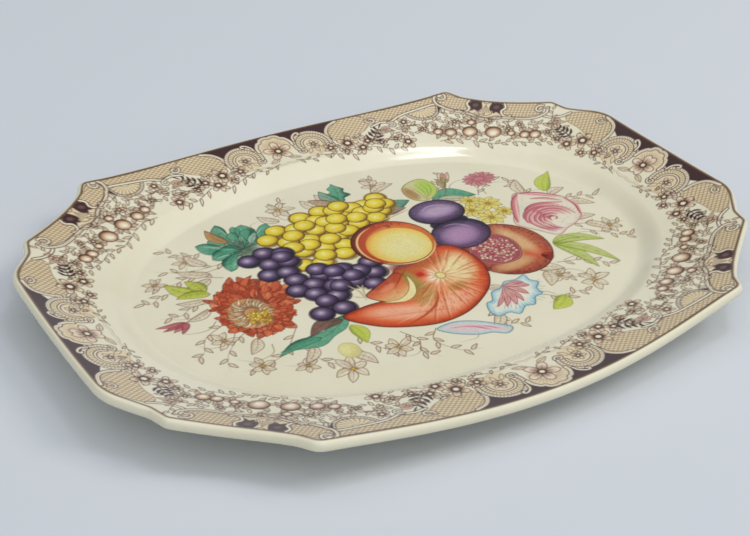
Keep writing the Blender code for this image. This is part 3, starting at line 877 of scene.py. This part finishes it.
def paintRose():
    pink, deep, rim = "#cc8088", "#a24c5a", "#e2c2b4"
    shape(smooth([(77, 1), (84, 12), (90, 22), (97, 28), (108, 22), (117, 13), (118, 2), (114, -8),
                  (107, -13), (98, -16), (90, -19), (83, -10)], True),
          lambda x, y, d: ramp([(0, "#cfa79c"), (1.5, "#e0d2c0"), (3, "#e0d8c4")], d), "#94645f", 0.35,
          wash=0.3)
    blush(88, 8, 7, 11, "#d2d8c4", 0.8, -30)
    for outer, width in (  # the open outer petals, each with a turned pale rim
            ([(79, 2), (85, 12), (91, 21), (97, 27)], 4.2), ([(98, 26.5), (107, 21.5), (116, 13)], 3.6),
            ([(117, 11), (118, 2), (114, -7)], 2.2), ([(84, -2), (90, 9), (99, 12.5), (113, 8)], 2.6),
            ([(100, 19), (108, 15), (114, 9)], 2.0)):
        path = smooth(outer)
        stroke(path, width, deep, "both")
        stroke(path + (0.3, -0.4), width - 0.9, pink, "both")
        stroke(path + (0.6, -0.9), width * 0.3, "#e8c0b4", "both", 0.9)
    for k in range(11, 0, -1):  # folded petals in arcs round the heart, each over the last
        start = -12 + 60 * dice.random() if k % 2 else 70 + 40 * dice.random()
        arc = curl(98, -4.5, 1.6 + 1.35 * k, start, 95 + 25 * dice.random())
        arc = arc * (1, 0.92) + (0, -0.36)  # the rose is seen a little from the side
        stroke(arc, 2.7, deep, "both", 0.9)
        stroke(arc + (0.25, -0.35), 2.1, (pink, "#c9737e", "#dba09e")[k % 3], "both", 0.95)
        stroke(arc + (0.4, -1.0), 0.8, rim, "both", 0.9)
    for k in range(6):  # petals that hang at the lower left
        stroke(smooth([(84 + 1.9 * k, -2 - 0.8 * k), (86.5 + 1.6 * k, -9 - 0.6 * k),
                       (91 + 1.3 * k, -16 + 0.2 * k)]), 1.1, (deep, pink)[k % 2], "both", 0.85)
    stroke(curl(99, -4, 3.0, 200, -300, 0.3), 0.8, deep)
    for k in range(14):
        a = math.radians(-50 + 9 * k)
        stroke([around(98, -5, 14.5, 12, a), around(98, -5, 17.5, 15.5, a)], 0.34, "#a86a66", "both", 0.6)


def paintFlowers():
    for x, y, r, turn in ((70, 13, 8, 10), (77, 26, 8, 40), (65, 24, 7, 70), (80, 15, 5, 0), (70, 33, 6, 20)):
        for k in range(8):  # yellow flowers
            a = math.radians(turn + 45 * k + 14 * dice.random())
            leaf((x, y), around(x, y, r, r, a), r * 0.5, "#e4d673", "#c4a944", 0.1, "#8d7c38", veins=1,
                 line=0.32, peak=1.2)
        shape(ellipse(x, y, 1.3), "#b98a30", "#7d6428", 0.3)
    for k in range(15):  # pink aster
        a = math.pi * 2 * k / 15
        leaf(around(89, 51, 3, 2, a), around(89, 51, 10.5, 7.5, a), 4.2, ("#c47c80", "#d59a9a")[k % 2],
             "#a8626a", 0.1, "#94525a", veins=1)
    shape(ellipse(89, 51, 3.4, 2.4), "#c2707a", "#8a4650", wash=0.3)
    paintMorningGlory()
    stroke(smooth([(64, 46), (67, 52), (70, 57)]), 0.9, "#7d6a4c", "both")  # closed bud on its stalk
    for tip, width, fill in (((78, 66), 4, "#d8b8a0"), ((73, 68), 4, "#e6d4ba"), ((75, 67), 3.4, "#c99c88")):
        leaf((69.5, 57), tip, width, fill, edge=colours["shade"], veins=1)
    for tip in ((74, 59), (67, 63), (72, 63)):
        leaf((69.5, 56.5), tip, 2.2, "#a3a060", edge=colours["shade"], veins=0)


def paintMorningGlory():  # seen from its side, then a smaller one edge on
    rim = smooth([(16, -60), (19, -53), (23, -52), (27, -46), (33, -45), (38, -41.5), (44, -42.5), (50, -41),
                  (50, -46), (52.5, -50), (48.5, -54), (48, -59), (43, -60), (39, -65), (34, -64), (28, -68),
                  (24, -64.5), (18, -65)], True)
    shape(rim, lambda x, y, d: ramp([(0, "#7fb0c4"), (1.4, "#a9cdd6"), (3.0, "#d3dfd8"), (5, "#e6dece")], d),
          "#46707f", 0.42, limit=7.0, wash=0.25)
    for k in range(24):
        a = math.radians(196 + 7.2 * k)
        tip = around(36, -49, 16 + 3 * dice.random(), 14 + 3 * dice.random(), a)
        stroke([around(36, -49, 11, 10, a), tip], 0.4, "#4f8296", "start", 0.55)
    for tip, width in (((22, -58), 2.4), ((26, -60), 3.0), ((31, -61), 3.2), ((36, -60), 2.6),
                       ((42, -56), 3.6), ((47, -50), 4.4), ((46, -46), 3.0)):
        leaf((35, -44), tip, width, "#d08c88", "#b0606a", 0.06, "#96525a", veins=2, wash=0.4, line=0.34,
             peak=1.5)
        stroke([(35, -44), ((35 + 2 * tip[0]) / 3, (-44 + 2 * tip[1]) / 3)], 0.5, "#e8d6c6", "both", 0.7)
    for k in range(5):  # its stalk and folded back
        stroke(smooth([(22 + 2.2 * k, -38 - 0.5 * k), (25 + 2 * k, -42), (31 + 1.2 * k, -46)]), 0.55,
               "#8a6f52", "both", 0.8)
    shape(smooth([(-14, -59), (-4, -58), (5, -62), (13, -69), (18, -75), (13, -78), (7, -74), (0, -72),
                  (-9, -66)], True),
          lambda x, y, d: ramp([(0, "#86b2c2"), (1.2, "#b4cdd2"), (2.4, "#d6c2c4")], d), "#4f6f80", 0.42,
          wash=0.25)
    for k in range(6):
        stroke(smooth([(-8 + 1.6 * k, -61.5 - 0.4 * k), (1 + 1.6 * k, -65 - 0.7 * k),
                       (8 + 1.2 * k, -72 - 0.3 * k)]), 0.8, ("#b45e72", "#cf8f98", "#e6d2cc")[k % 3], "both",
               0.85)


# Short engraved marks round a fruit's rim, from this share of its radius outwards
def stipple(x, y, rx, ry, inner, count, colour, low=0, high=360, strength=0.5):
    for _ in range(count):
        a, r = math.radians(low + (high - low) * dice.random()), inner + (1 - inner) * dice.random() ** 0.7
        tail = around(x, y, rx * (r - 0.07), ry * (r - 0.07), a + 0.02)
        stroke([around(x, y, rx * r, ry * r, a), tail], 0.4, colour, "both", strength)


def paintPomegranate():
    x, y = 57.5, -16.5
    fruit(x, y, 23.5, 25, colours["pomegranate"], light=(0.1, 0.0), edge="#3d1614", line=0.6, spread=1.1)
    stipple(x, y, 23, 24.5, 0.66, 460, "#8a2f1e")
    stipple(x, y, 23, 24.5, 0.9, 200, "#4a1412")
    blush(69, -27.5, 8, 7.5, "#c9482c", 0.75)
    blush(67.5, -12, 6, 20, "#ddb988", 0.9, 8)
    blush(52, -30.5, 16, 5.5, "#d6b07c", 0.85, 4)
    shape(smooth([(38, -16), (41, -7), (49, -1), (59, -1), (65, -8), (65, -18), (59, -27), (49, -28),
                  (41, -24)], True),
          lambda x, y, d: ramp([(0, "#dcb48e"), (0.9, "#984a50"), (3, "#a2545a")], d), "#6a2a2c", 0.45)
    for k in range(210):  # seeds
        a, r = 2 * math.pi * dice.random(), 0.95 * math.sqrt(dice.random())
        shape(ellipse(*around(52, -14.5, 12 * r, 12.4 * r, a), 1.1, 0.85, 360 * dice.random(), 9),
              ("#dcb8a0", "#c87a7c", "#e4cdb2", "#b65a62")[k % 4], "#7c3038", 0.26)
    for degrees in range(-85, -10, 9):  # dried calyx at the lower right
        leaf((70, -30), around(70, -30, 6, 7, math.radians(degrees)), 1.8, "#b8402a", edge="#4c1814", veins=0,
             line=0.34)


def paintMelon():
    rim = smooth([(-47, -29), (-38, -42), (-26, -50), (-10, -55.5), (6, -54.5), (20, -48), (31, -39),
                  (38, -26), (39, -12), (35, 0), (24, 3), (6, -2), (-4, -6), (-10, -16), (-16, -26),
                  (-33, -26)], True)
    star = np.array([14.0, -21.0])  # where the stalk was

    def tone(x, y, depth):
        turn = np.arctan2(y - star[1], x - star[0])
        ribs = 0.5 + 0.5 * np.cos(turn * 11 + 0.07 * np.hypot(x - star[0], y - star[1]))
        return ramp(colours["melon"], depth * (0.72 + 0.28 * ribs))
    shape(rim, tone, "#4f1c10", 0.6, limit=13.0, wash=0.1)
    for x, y, rx, ry, colour, strength, tilt in (
            (26, -19, 11, 18, "#e8dea6", 1.0, -24), (6, -44, 22, 8, "#efb898", 0.8, 16),
            (-22, -38, 20, 7.5, "#f0b79a", 0.9, -26), (10, -7, 20, 7, "#a4562a", 0.75, 6),
            (4, -3, 12, 4.5, "#7e3e46", 0.9, 6), (-2, -30, 8, 13, "#a08038", 0.7, -35),
            (16, -33, 7, 4, "#a0742c", 0.75, 10)):
        blush(x, y, rx, ry, colour, strength, tilt)
    for degrees in range(-176, 80, 16):  # creases between the segments
        a = math.radians(degrees + 8 * dice.random())
        way, turned = np.array([math.cos(a), math.sin(a)]), np.array([-math.sin(a), math.cos(a)])
        path = smooth([star + way * 9, star + way * 19 + turned * 1.8, star + way * 42 + turned * 6])
        keep = np.array([q for q in path
                         if insideOf(rim, q[:1], q[1:])[0, 0] and (q[0] > -6 or q[1] < -50)])
        if len(keep) > 2:
            stroke(keep, 1.3, "#a8401e", "both", 0.36)
            stroke(keep + turned * 1.1, 0.8, "#f3cfa6", "both", 0.3)
    for _ in range(260):  # engraved shading down the segments
        a, r = 2 * math.pi * dice.random(), 13 + 20 * dice.random()
        spot = star + np.array([math.cos(a), math.sin(a)]) * r
        if insideOf(rim, spot[:1], spot[1:])[0, 0]:
            stroke([spot, star + (spot - star) * (1 + 2.8 / r)], 0.42, "#a23c1e", "both", 0.45)
    stroke(smooth([(5, -32), (-1, -40), (-11, -46), (-24, -49.5)]), 1.5, "#a8401e", "both", 0.75)
    stroke(smooth([(3, -31), (-4, -38), (-14, -43.5), (-27, -46)]), 1.0, "#f3c4a4", "both", 0.6)
    for k in range(12):
        spot = np.array([-42 + 3.2 * k, -31 - 1.0 * k])
        stroke(smooth([spot, spot + (4, -4), spot + (10, -7)]), 0.5, "#c2583a", "both", 0.4)
    blush(11, -20, 7, 7, "#efdcc4", 1.0, 10)
    for k in range(26):  # pale and brown rays round the stalk
        a, far = 2 * math.pi * k / 26, 7 + 6 * dice.random()
        stroke([around(*star, 3, 3, a), around(*star, far, far, a)], 1.2, ("#f2e6c0", "#b98a48")[k % 2],
               "end", 0.5)
    for r, colour in ((5.4, "#cf4426"), (2.4, "#a32616")):
        blush(5.4, -15.4, r, r, colour, 0.95)
    shape(ellipse(*star, 2.4, 2.8), "#e6d48c", "#9a7434", 0.5)
    # the cut wedge lying against it, and its pale rind
    shape(smooth([(-28, -19), (-20, -14.5), (-12, -11), (-5, -8), (-2, -12), (-3, -19), (-7, -26), (-15, -31),
                  (-23, -27)], True),
          lambda x, y, d: ramp([(-10, "#ead49c"), (-4, "#dfa268"), (2, "#d66c40"), (8, "#b2432a")],
                               y + 20 - 0.3 * (x + 13)), "#4f1c10", 0.55, wash=0.15)
    blush(-1, -18, 5, 11, "#8f8a3c", 0.9, -8)
    shape(smooth([(-24, -27.5), (-14, -32), (-6, -29), (-1.5, -21), (-1, -13), (-4, -20), (-9, -26),
                  (-16, -29)], True), "#e9dba2", "#8a6a34", 0.4)
    for k in range(6):
        stroke(smooth([(-25 + 2 * k, -19.5 + k), (-13 + 2 * k, -20 + 1.8 * k), (-3 + 1.4 * k, -11 + k)]), 0.6,
               "#98361a", "both", 0.55)
    blush(-15, -18, 7, 3, "#efa67c", 0.6, 20)


def paintPeach():
    fruit(10.5, 17, 21.8, 21.2, colours["peach"], 0, (0.15, -0.1), "#471c12", 0.7, 1.08)
    stipple(10.5, 17, 21.5, 21, 0.82, 320, "#9c3018", 40, 230)
    fruit(12.0, 13.6, 17.6, 17.2, colours["peachFace"], 20, (0.05, -0.15), "#a85a2c", 0.4, 1.15)
    # skin round the cut face, dark where it turns away and pale along its edge
    stroke(curl(11.5, 15.2, 18.2, 78, 120), 4.4, "#b5472a", "both", 0.85)
    stroke(curl(11.3, 15.6, 20.0, 100, 115), 1.2, "#e9cf94", "both", 0.9)
    stroke(curl(12.2, 14.6, 18.4, -62, 130), 3.0, "#c96c2e", "both", 0.75)
    stroke(curl(11.2, 15.6, 20.2, -140, 120), 0.9, "#efe2a4", "both", 0.85)
    blush(14, 10, 12, 11, "#e6dea0", 0.7)
    for k in range(4):
        stroke([(15 + k, 34.5 - 0.3 * k), (16.4 + 0.5 * k, 30.5)], 0.5, "#5c2c16", "both", 0.8)


def paintPlums():
    shape(ellipse(30, 2, 9, 8), "#74434b")  # the dark between the fruits
    shape(ellipse(47.5, 20, 11.5, 6), "#33283e")
    for x, y, rx, ry, tilt, light in ((47.8, 32, 15.6, 12.2, -4, (0, 0.1)),
                                      (46.5, 7.6, 16.6, 14, 12, (-0.1, -0.1))):
        fruit(x, y, rx, ry, colours["plum"], tilt, light, "#171020", 0.65, 1.05)
        stipple(x, y, rx, ry, 0.7, 200, "#1f1730", strength=0.25)
    blush(49, 32.5, 13, 6.5, "#bca6bf", 0.95, -3)  # bloom on the skin
    blush(45, 6.5, 12.5, 9.5, "#b48cae", 0.95, 14)
    for path, width, colour in (
            (curl(45, 8, 9.5, 10, 100), 0.9, "#ccb8cc"), (curl(47, 6, 12.5, 5, 60), 0.8, "#6a5478"),
            (curl(48, 29, 10, 40, 95), 0.9, "#d6c8d6"), (curl(47, 34, 12.5, 215, 100), 1.2, "#4a3956")):
        stroke(path, width, colour, "both", 0.55)


def paintGroup():
    paintSprays()
    paintLeaves()
    paintRose()
    paintFlowers()
    paintDahlia()
    for bunch, gap, tones, rim, size in (
            (yellowGrapes, "#8c7430", "yellowGrape", "#5a3f1e", 5.7),
            (purpleGrapes, "#2c2232", "purpleGrape", "#140f1c", 5.6)):
        for x, y in bunch:  # the dark between the grapes
            shape(ellipse(x + 0.2, y - 0.4, size + 1.1, size + 0.9), gap, strength=0.9, wash=0.3)
        for x, y in bunch:
            x, y = x + dice.random() - 0.5, y + dice.random() - 0.5
            fruit(x, y, size, size * 0.95, colours[tones], light=(-0.1, 0.2), edge=rim, line=0.5, spread=1.18)
            stroke(curl(x, y, size * 0.72, 250, 80), 0.6, rim, "both", 0.3)
    for path in ([(-31, -6), (-29, -13), (-30, -22)], [(-24, -9), (-27, -14), (-29, -20)],  # bare stalks
                 [(-22, -14), (-26, -17)], [(-34, -16), (-30, -19)], [(-27, -8), (-26, -12), (-23, -15)],
                 [(36, 42), (26, 40), (17, 38.5)]):
        stroke(smooth(path), 0.8, "#d9cca0", "both", 0.95)
        stroke(smooth(path) + (0.5, -0.3), 0.35, "#66503c", "both", 0.8)
    paintPomegranate()
    paintPlums()
    paintMelon()
    paintPeach()


def printedAt(points):  # print colour and ink cover at plan points
    column = (points[..., 0] + sheet["reachX"]) / sheet["cell"] - 0.5
    row = (points[..., 1] + sheet["reachY"]) / sheet["cell"] - 0.5
    c0 = np.clip(column.astype(int), 0, sheetShape[1] - 2)
    r0 = np.clip(row.astype(int), 0, sheetShape[0] - 2)
    fc, fr = np.clip(column - c0, 0, 1)[..., None], np.clip(row - r0, 0, 1)[..., None]
    low = board[r0, c0] * (1 - fc) + board[r0, c0 + 1] * fc
    high = board[r0 + 1, c0] * (1 - fc) + board[r0 + 1, c0 + 1] * fc
    return low * (1 - fr) + high * fr


paintBorder()
print("border printed")
paintGroup()
print("well painted")
board = np.concatenate([shownToLinear(paint), cover[..., None]], 2)
for axis in (0, 1):  # ink spreads a little into the glaze
    board = 0.25 * np.roll(board, 1, axis) + 0.5 * board + 0.25 * np.roll(board, -1, axis)

# Glazed earthenware: buff clay under clear lead glaze, transfer printed. The eye sees a warm cream with
# faint clouding and specks, soft-edged print, and a wet gloss with a little orange peel.
glaze = {
    "roughness": 0.1, "smear": 0.06,  # the duller patches are this much rougher
    "ior": 1.52,
    "cloud": 34.0, "cloudTint": (0.955, 0.945, 0.91),  # pattern sizes are in mm
    "speck": 1.1, "speckTone": (0.93, 1.05),
    "peel": 7.0, "peelHeight": 0.035,
    "crazing": 11.0, "crazingColour": "#8a7657", "crazingStrength": 0.03,
    "bareClay": "#c3ab86", "bareHeight": 0.12,  # mm of the foot that the glaze is wiped from
    "bareRoughness": 0.75,
}


def glazedEarthenware(name, bareFoot):
    material = bpy.data.materials.new(name)
    material.use_nodes = True
    tree = material.node_tree
    shader = tree.nodes["Principled BSDF"]
    where = addNode(tree, "ShaderNodeTexCoord").outputs["Object"]
    printed = addNode(tree, "ShaderNodeAttribute", {"attribute_name": "print"})
    clouds = addNode(tree, "ShaderNodeTexNoise", {"Scale": 1000 / glaze["cloud"], "Detail": 3.0},
                     {"Vector": where})
    tint = addNode(tree, "ShaderNodeValToRGB", links={"Fac": clouds.outputs["Fac"]})
    tint.color_ramp.elements[0].position = 0.3
    tint.color_ramp.elements[0].color = (*glaze["cloudTint"], 1)
    tint.color_ramp.elements[1].position = 0.7
    tint.color_ramp.elements[1].color = (1.0, 1.0, 1.0, 1)
    body = addNode(tree, "ShaderNodeMix", {"data_type": "RGBA", "blend_type": "MULTIPLY", 0: 1.0},
                   {6: printed.outputs["Color"], 7: tint.outputs["Color"]})
    specks = addNode(tree, "ShaderNodeTexNoise", {"Scale": 1000 / glaze["speck"], "Detail": 1.0},
                     {"Vector": where})
    grain = addNode(tree, "ShaderNodeMapRange", {
        "From Min": 0.3, "From Max": 0.7, "To Min": glaze["speckTone"][0], "To Max": glaze["speckTone"][1]},
        {"Value": specks.outputs["Fac"]})
    mottled = addNode(tree, "ShaderNodeMix", {"data_type": "RGBA", "blend_type": "MULTIPLY"},
                      {0: printed.outputs["Alpha"], 6: body.outputs[2], 7: grain.outputs["Result"]})
    # crazing: hairlines in the glaze, drawn a fifth of a millimetre wide so that they can show at all
    cells = addNode(tree, "ShaderNodeTexVoronoi", {
        "feature": "DISTANCE_TO_EDGE", "Scale": 1000 / glaze["crazing"]}, {"Vector": where})
    hair = addNode(tree, "ShaderNodeMapRange", {
        "From Min": 0.0, "From Max": 0.02, "To Min": glaze["crazingStrength"], "To Max": 0.0},
        {"Value": cells.outputs["Distance"]})
    crazed = addNode(tree, "ShaderNodeMix", {"data_type": "RGBA"},
                     {0: hair.outputs["Result"], 6: mottled.outputs[2]})
    crazed.inputs[7].default_value = (*linear(glaze["crazingColour"]), 1)
    tree.links.new(crazed.outputs[2], shader.inputs["Base Color"])
    peel = addNode(tree, "ShaderNodeTexNoise", {"Scale": 1000 / glaze["peel"], "Detail": 1.5},
                   {"Vector": where})
    bump = addNode(tree, "ShaderNodeBump", {"Strength": 0.5, "Distance": glaze["peelHeight"] * mm},
                   {"Height": peel.outputs["Fac"]})
    tree.links.new(bump.outputs["Normal"], shader.inputs["Normal"])
    smear = addNode(tree, "ShaderNodeMapRange", {
        "From Min": 0.35, "From Max": 0.7, "To Min": glaze["roughness"],
        "To Max": glaze["roughness"] + glaze["smear"]}, {"Value": clouds.outputs["Fac"]})
    gloss = smear.outputs["Result"]
    if bareFoot:  # the foot is wiped before firing, so it is dry, rough clay
        dry = addNode(tree, "ShaderNodeMix", {3: glaze["bareRoughness"]},
                      {0: printed.outputs["Alpha"], 2: gloss})
        gloss = dry.outputs[0]
    tree.links.new(gloss, shader.inputs["Roughness"])
    shader.inputs["IOR"].default_value = glaze["ior"]
    return material


# One visible face of the dish. cap is the ring of points that closes the floor's underside.
def makePiece(name, points, normals, quads, uvs, printed, material, cap=None):
    mesh = bpy.data.meshes.new(name)
    corners = quads.ravel() if cap is None else np.concatenate([quads.ravel(), cap])
    starts = np.arange(0, quads.size + (cap is not None), 4)
    mesh.vertices.add(len(points))
    mesh.vertices.foreach_set("co", (points * mm).astype(np.float32).ravel())
    mesh.loops.add(len(corners))
    mesh.loops.foreach_set("vertex_index", corners.astype(np.int32))
    mesh.polygons.add(len(starts))
    mesh.polygons.foreach_set("loop_start", starts.astype(np.int32))
    mesh.update(calc_edges=True)
    layer = mesh.uv_layers.new(name="OFBake")
    layer.data.foreach_set("uv", uvs.astype(np.float32).ravel())
    ink = mesh.color_attributes.new("print", "FLOAT_COLOR", "POINT")
    ink.data.foreach_set("color", printed.astype(np.float32).ravel())
    mesh.materials.append(material)
    mesh.shade_smooth()
    mesh.normals_split_custom_set_from_vertices(normals.astype(np.float32))
    piece = bpy.data.objects.new(name, mesh)
    bpy.context.scene.collection.objects.link(piece)
    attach(piece, "root")
    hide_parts("platter")


# Columns are rays from the middle, shared by all three pieces, so their edges meet exactly
side = fineness["gridCells"]
squash = math.sqrt(dish["halfWidth"] / dish["halfLength"])  # spreads the rays evenly round the long dish


def rayAngle(turn):
    return np.arctan2(squash * np.sin(turn), np.cos(turn))


columns = rayAngle(-math.pi / 4 + np.arange(4 * side) * (math.pi / 2) / side)


def wrappedRings(rings, rows):  # quads between closed rings, and their map folded into four rows
    j, k = np.meshgrid(np.arange(rings - 1), np.arange(4 * side), indexing="ij")
    after = (k + 1) % (4 * side)
    here, beyond = j * 4 * side, (j + 1) * 4 * side
    quads = np.stack([here + k, beyond + k, beyond + after, here + after], -1)
    u, v = (k % side) / side, j / (rings - 1)
    uStep, vStep = np.array([0, 0, 1, 1]) / side, np.array([0, 1, 1, 0]) / (rings - 1)
    u = 0.01 + 0.98 * (u[..., None] + uStep)
    v = rows * ((k // side)[..., None] + 0.04 + 0.92 * (v[..., None] + vStep)) / 4
    return quads.reshape(-1, 4), np.stack([u, v], -1).reshape(-1, 2)


def buildWell():
    line = np.linspace(-1, 1, side + 1)
    u, v = np.meshgrid(line, line)
    wide = np.abs(u) >= np.abs(v)
    rho = np.where(wide, np.abs(u), np.abs(v))
    safeU, safeV = np.where(u == 0, 1, u), np.where(v == 0, 1, v)
    turn = np.where(wide, math.pi / 4 * v / safeU + math.pi * (u < 0),
                    math.pi / 2 - math.pi / 4 * u / safeV + math.pi * (v < 0))
    theta = rayAngle(turn)
    points = wellPoint(theta, rho)
    normals = surfaceNormals(wellPoint, theta, rho)
    normals = np.where(rho[..., None] > 0.999, surfaceNormals(borderPoint, theta, 0 * rho), normals)
    normals[np.linalg.norm(normals, axis=-1) < 0.5] = (0, 0, 1)
    r, c = np.meshgrid(np.arange(side), np.arange(side), indexing="ij")
    start = r * (side + 1) + c
    quads = np.stack([start, start + 1, start + side + 2, start + side + 1], -1).reshape(-1, 4)
    spread = np.stack([(u + 1) / 2, (v + 1) / 2], -1).reshape(-1, 2) * 0.99 + 0.005
    makePiece("well_face", points.reshape(-1, 3), normals.reshape(-1, 3), quads, spread[quads.ravel()],
              printedAt(points).reshape(-1, 4), glazedEarthenware("glazedEarthenwareWell", False))


def buildBorder():
    share = np.linspace(0, 1, fineness["borderRings"])[:, None]
    theta = columns[None] + 0 * share
    points = borderPoint(theta, share + 0 * theta)
    normals = surfaceNormals(borderPoint, theta, share + 0 * theta)
    quads, uvs = wrappedRings(len(points), 1.0)
    makePiece("border_face", points.reshape(-1, 3), normals.reshape(-1, 3), quads, uvs,
              printedAt(points).reshape(-1, 4), glazedEarthenware("glazedEarthenwareBorder", False))


def buildBack():
    points = backRings()
    normals = gridNormals(points)
    normals[0] = surfaceNormals(borderPoint, columns, np.ones_like(columns))
    printed = np.ones((*points.shape[:2], 4)) * (*linear(sheet["glaze"]), 0)
    edge = printedAt(points[:1])[0]
    fade = np.clip(1 - np.arange(4) / 3, 0, 1)[:, None, None]
    printed[:4] = printed[:4] * (1 - fade) + edge * fade  # the edge line runs a little over the lip
    printed[..., 3] = 0
    printed[points[..., 2] < glaze["bareHeight"]] = (*linear(glaze["bareClay"]), 1)
    quads, uvs = wrappedRings(len(points), 0.96)
    cap = (len(points) - 1) * 4 * side + np.arange(4 * side)
    turn = np.linspace(0, 2 * math.pi, 4 * side, endpoint=False)
    uvs = np.concatenate([uvs, np.stack([0.5 + 0.015 * np.cos(turn), 0.98 + 0.015 * np.sin(turn)], 1)])
    makePiece("lip_and_back", points.reshape(-1, 3), normals.reshape(-1, 3), quads, uvs,
              printed.reshape(-1, 4), glazedEarthenware("glazedEarthenwareBack", True), cap)


buildWell()
buildBorder()
buildBack()
print("dish built")

view = {
    "azimuth": -33.1,       # degrees round the dish; 0 looks along its width
    "elevation": 32.1,
    "roll": 1.8,
    "distance": 0.705,      # metres, as are the three below the lens
    "lens": 68.0,           # mm, on a 36 mm wide sensor
    "aside": -0.0096,       # the aim point, off the middle of the well's shoulder
    "above": -0.0084,
    "aimHeight": 0.014,
}


def placeCamera():
    turn, rise = math.radians(view["azimuth"]), math.radians(view["elevation"])
    back = Vector((math.sin(turn) * math.cos(rise), -math.cos(turn) * math.cos(rise), math.sin(rise)))
    right = Vector((math.cos(turn), math.sin(turn), 0))
    up = back.cross(right)
    roll = math.radians(view["roll"])
    across = right * math.cos(roll) + up * math.sin(roll)
    upright = up * math.cos(roll) - right * math.sin(roll)
    place = (Vector((0, 0, view["aimHeight"])) + across * view["aside"] + upright * view["above"]
             + back * view["distance"])
    lens = bpy.data.cameras.new("camera")
    lens.lens = view["lens"]
    lens.sensor_width = 36
    lens.clip_start = 0.01
    camera = bpy.data.objects.new("camera", lens)
    camera.matrix_world = Matrix.Translation(place) @ Matrix((across, upright, back)).transposed().to_4x4()
    bpy.context.scene.collection.objects.link(camera)
    bpy.context.scene.camera = camera


light = {  # powers in watts, sizes and places in metres
    "keyPower": 12.6, "keySize": (0.85, 0.75), "keyPlace": (1.25, -0.8, 1.66), "keyColour": "#fffaf2",
    "topPower": 1.9, "topSize": (0.3, 0.2), "topPlace": (0.22, -0.18, 1.36), "topColour": "#eef3ff",
    "sky": "#e6e8ea", "skyLow": 0.22, "skyHigh": 1.2, "skyFrom": (-0.15, -0.45, 0.88), "skyRange": (0.1, 0.8),
    "backdrop": "#ced4da", "veilRange": (0.85, 0.98), "floorColour": "#cdd2d8", "floorSize": 12,
}


def addArea(name, place, size, power, colour):
    lamp = bpy.data.lights.new(name, "AREA")
    lamp.shape = "RECTANGLE"
    lamp.size, lamp.size_y = size
    lamp.energy = power
    lamp.color = linear(colour)
    holder = bpy.data.objects.new(name, lamp)
    back = Vector(place).normalized()  # the lamp shines down its own -Z, with its long side along the dish
    across = (Vector((1, 0, 0)) - back * back.x).normalized()
    axes = Matrix((across, back.cross(across), back)).transposed()
    holder.matrix_world = Matrix.Translation(place) @ axes.to_4x4()
    bpy.context.scene.collection.objects.link(holder)
    return holder


def setLights():
    scene = bpy.context.scene
    scene.view_settings.view_transform = "Standard"
    world = bpy.data.worlds.new("studio")
    world.use_nodes = True
    tree = world.node_tree
    # a studio that is bright overhead and in front and dim behind, so the glaze keeps its depth of colour
    where = addNode(tree, "ShaderNodeTexCoord")
    facing = addNode(tree, "ShaderNodeVectorMath", {"operation": "DOT_PRODUCT", 1: light["skyFrom"]},
                     {0: where.outputs["Generated"]})
    rise = addNode(tree, "ShaderNodeMapRange", {
        "interpolation_type": "SMOOTHSTEP", "From Min": light["skyRange"][0],
        "From Max": light["skyRange"][1], "To Min": light["skyLow"], "To Max": light["skyHigh"]},
        {"Value": facing.outputs["Value"]})
    room = tree.nodes["Background"]
    room.inputs["Color"].default_value = (*linear(light["sky"]), 1)
    tree.links.new(rise.outputs["Result"], room.inputs["Strength"])
    paper = addNode(tree, "ShaderNodeBackground", {"Color": (*linear(light["backdrop"]), 1)})
    ray = addNode(tree, "ShaderNodeLightPath")
    # low down behind the dish the same paper also shows in the glaze, which greys the near and right border
    a = math.radians(view["azimuth"])
    ahead = (-math.sin(a), math.cos(a), 0)
    behind = addNode(tree, "ShaderNodeVectorMath", {"operation": "DOT_PRODUCT", 1: ahead},
                     {0: where.outputs["Generated"]})
    low = addNode(tree, "ShaderNodeMapRange", {
        "interpolation_type": "SMOOTHSTEP", "From Min": light["veilRange"][0],
        "From Max": light["veilRange"][1]}, {"Value": behind.outputs["Value"]})
    veil = addNode(tree, "ShaderNodeMath", {"operation": "MULTIPLY"},
                   {0: low.outputs["Result"], 1: ray.outputs["Is Glossy Ray"]})
    inGlaze = addNode(tree, "ShaderNodeMixShader", links={
        0: veil.outputs["Value"], 1: room.outputs["Background"], 2: paper.outputs["Background"]})
    pick = addNode(tree, "ShaderNodeMixShader", links={
        0: ray.outputs["Is Camera Ray"], 1: inGlaze.outputs[0], 2: paper.outputs["Background"]})
    tree.links.new(pick.outputs[0], tree.nodes["World Output"].inputs["Surface"])
    scene.world = world
    key = addArea("keySoftbox", light["keyPlace"], light["keySize"], light["keyPower"], light["keyColour"])
    key.visible_glossy = False  # only the strip overhead shows in the glaze
    addArea("topStrip", light["topPlace"], light["topSize"], light["topPower"], light["topColour"])


def layFloor():
    bpy.ops.mesh.primitive_plane_add(size=light["floorSize"])
    floor = bpy.context.object
    floor.name = "floor"
    paper = bpy.data.materials.new("mattBackgroundPaper")
    paper.use_nodes = True
    shader = paper.node_tree.nodes["Principled BSDF"]
    shader.inputs["Base Color"].default_value = (*linear(light["floorColour"]), 1)
    shader.inputs["Roughness"].default_value = 0.9
    shader.inputs["Specular IOR Level"].default_value = 0.2
    floor.data.materials.append(paper)


placeCamera()
setLights()
layFloor()
print("studio lit")
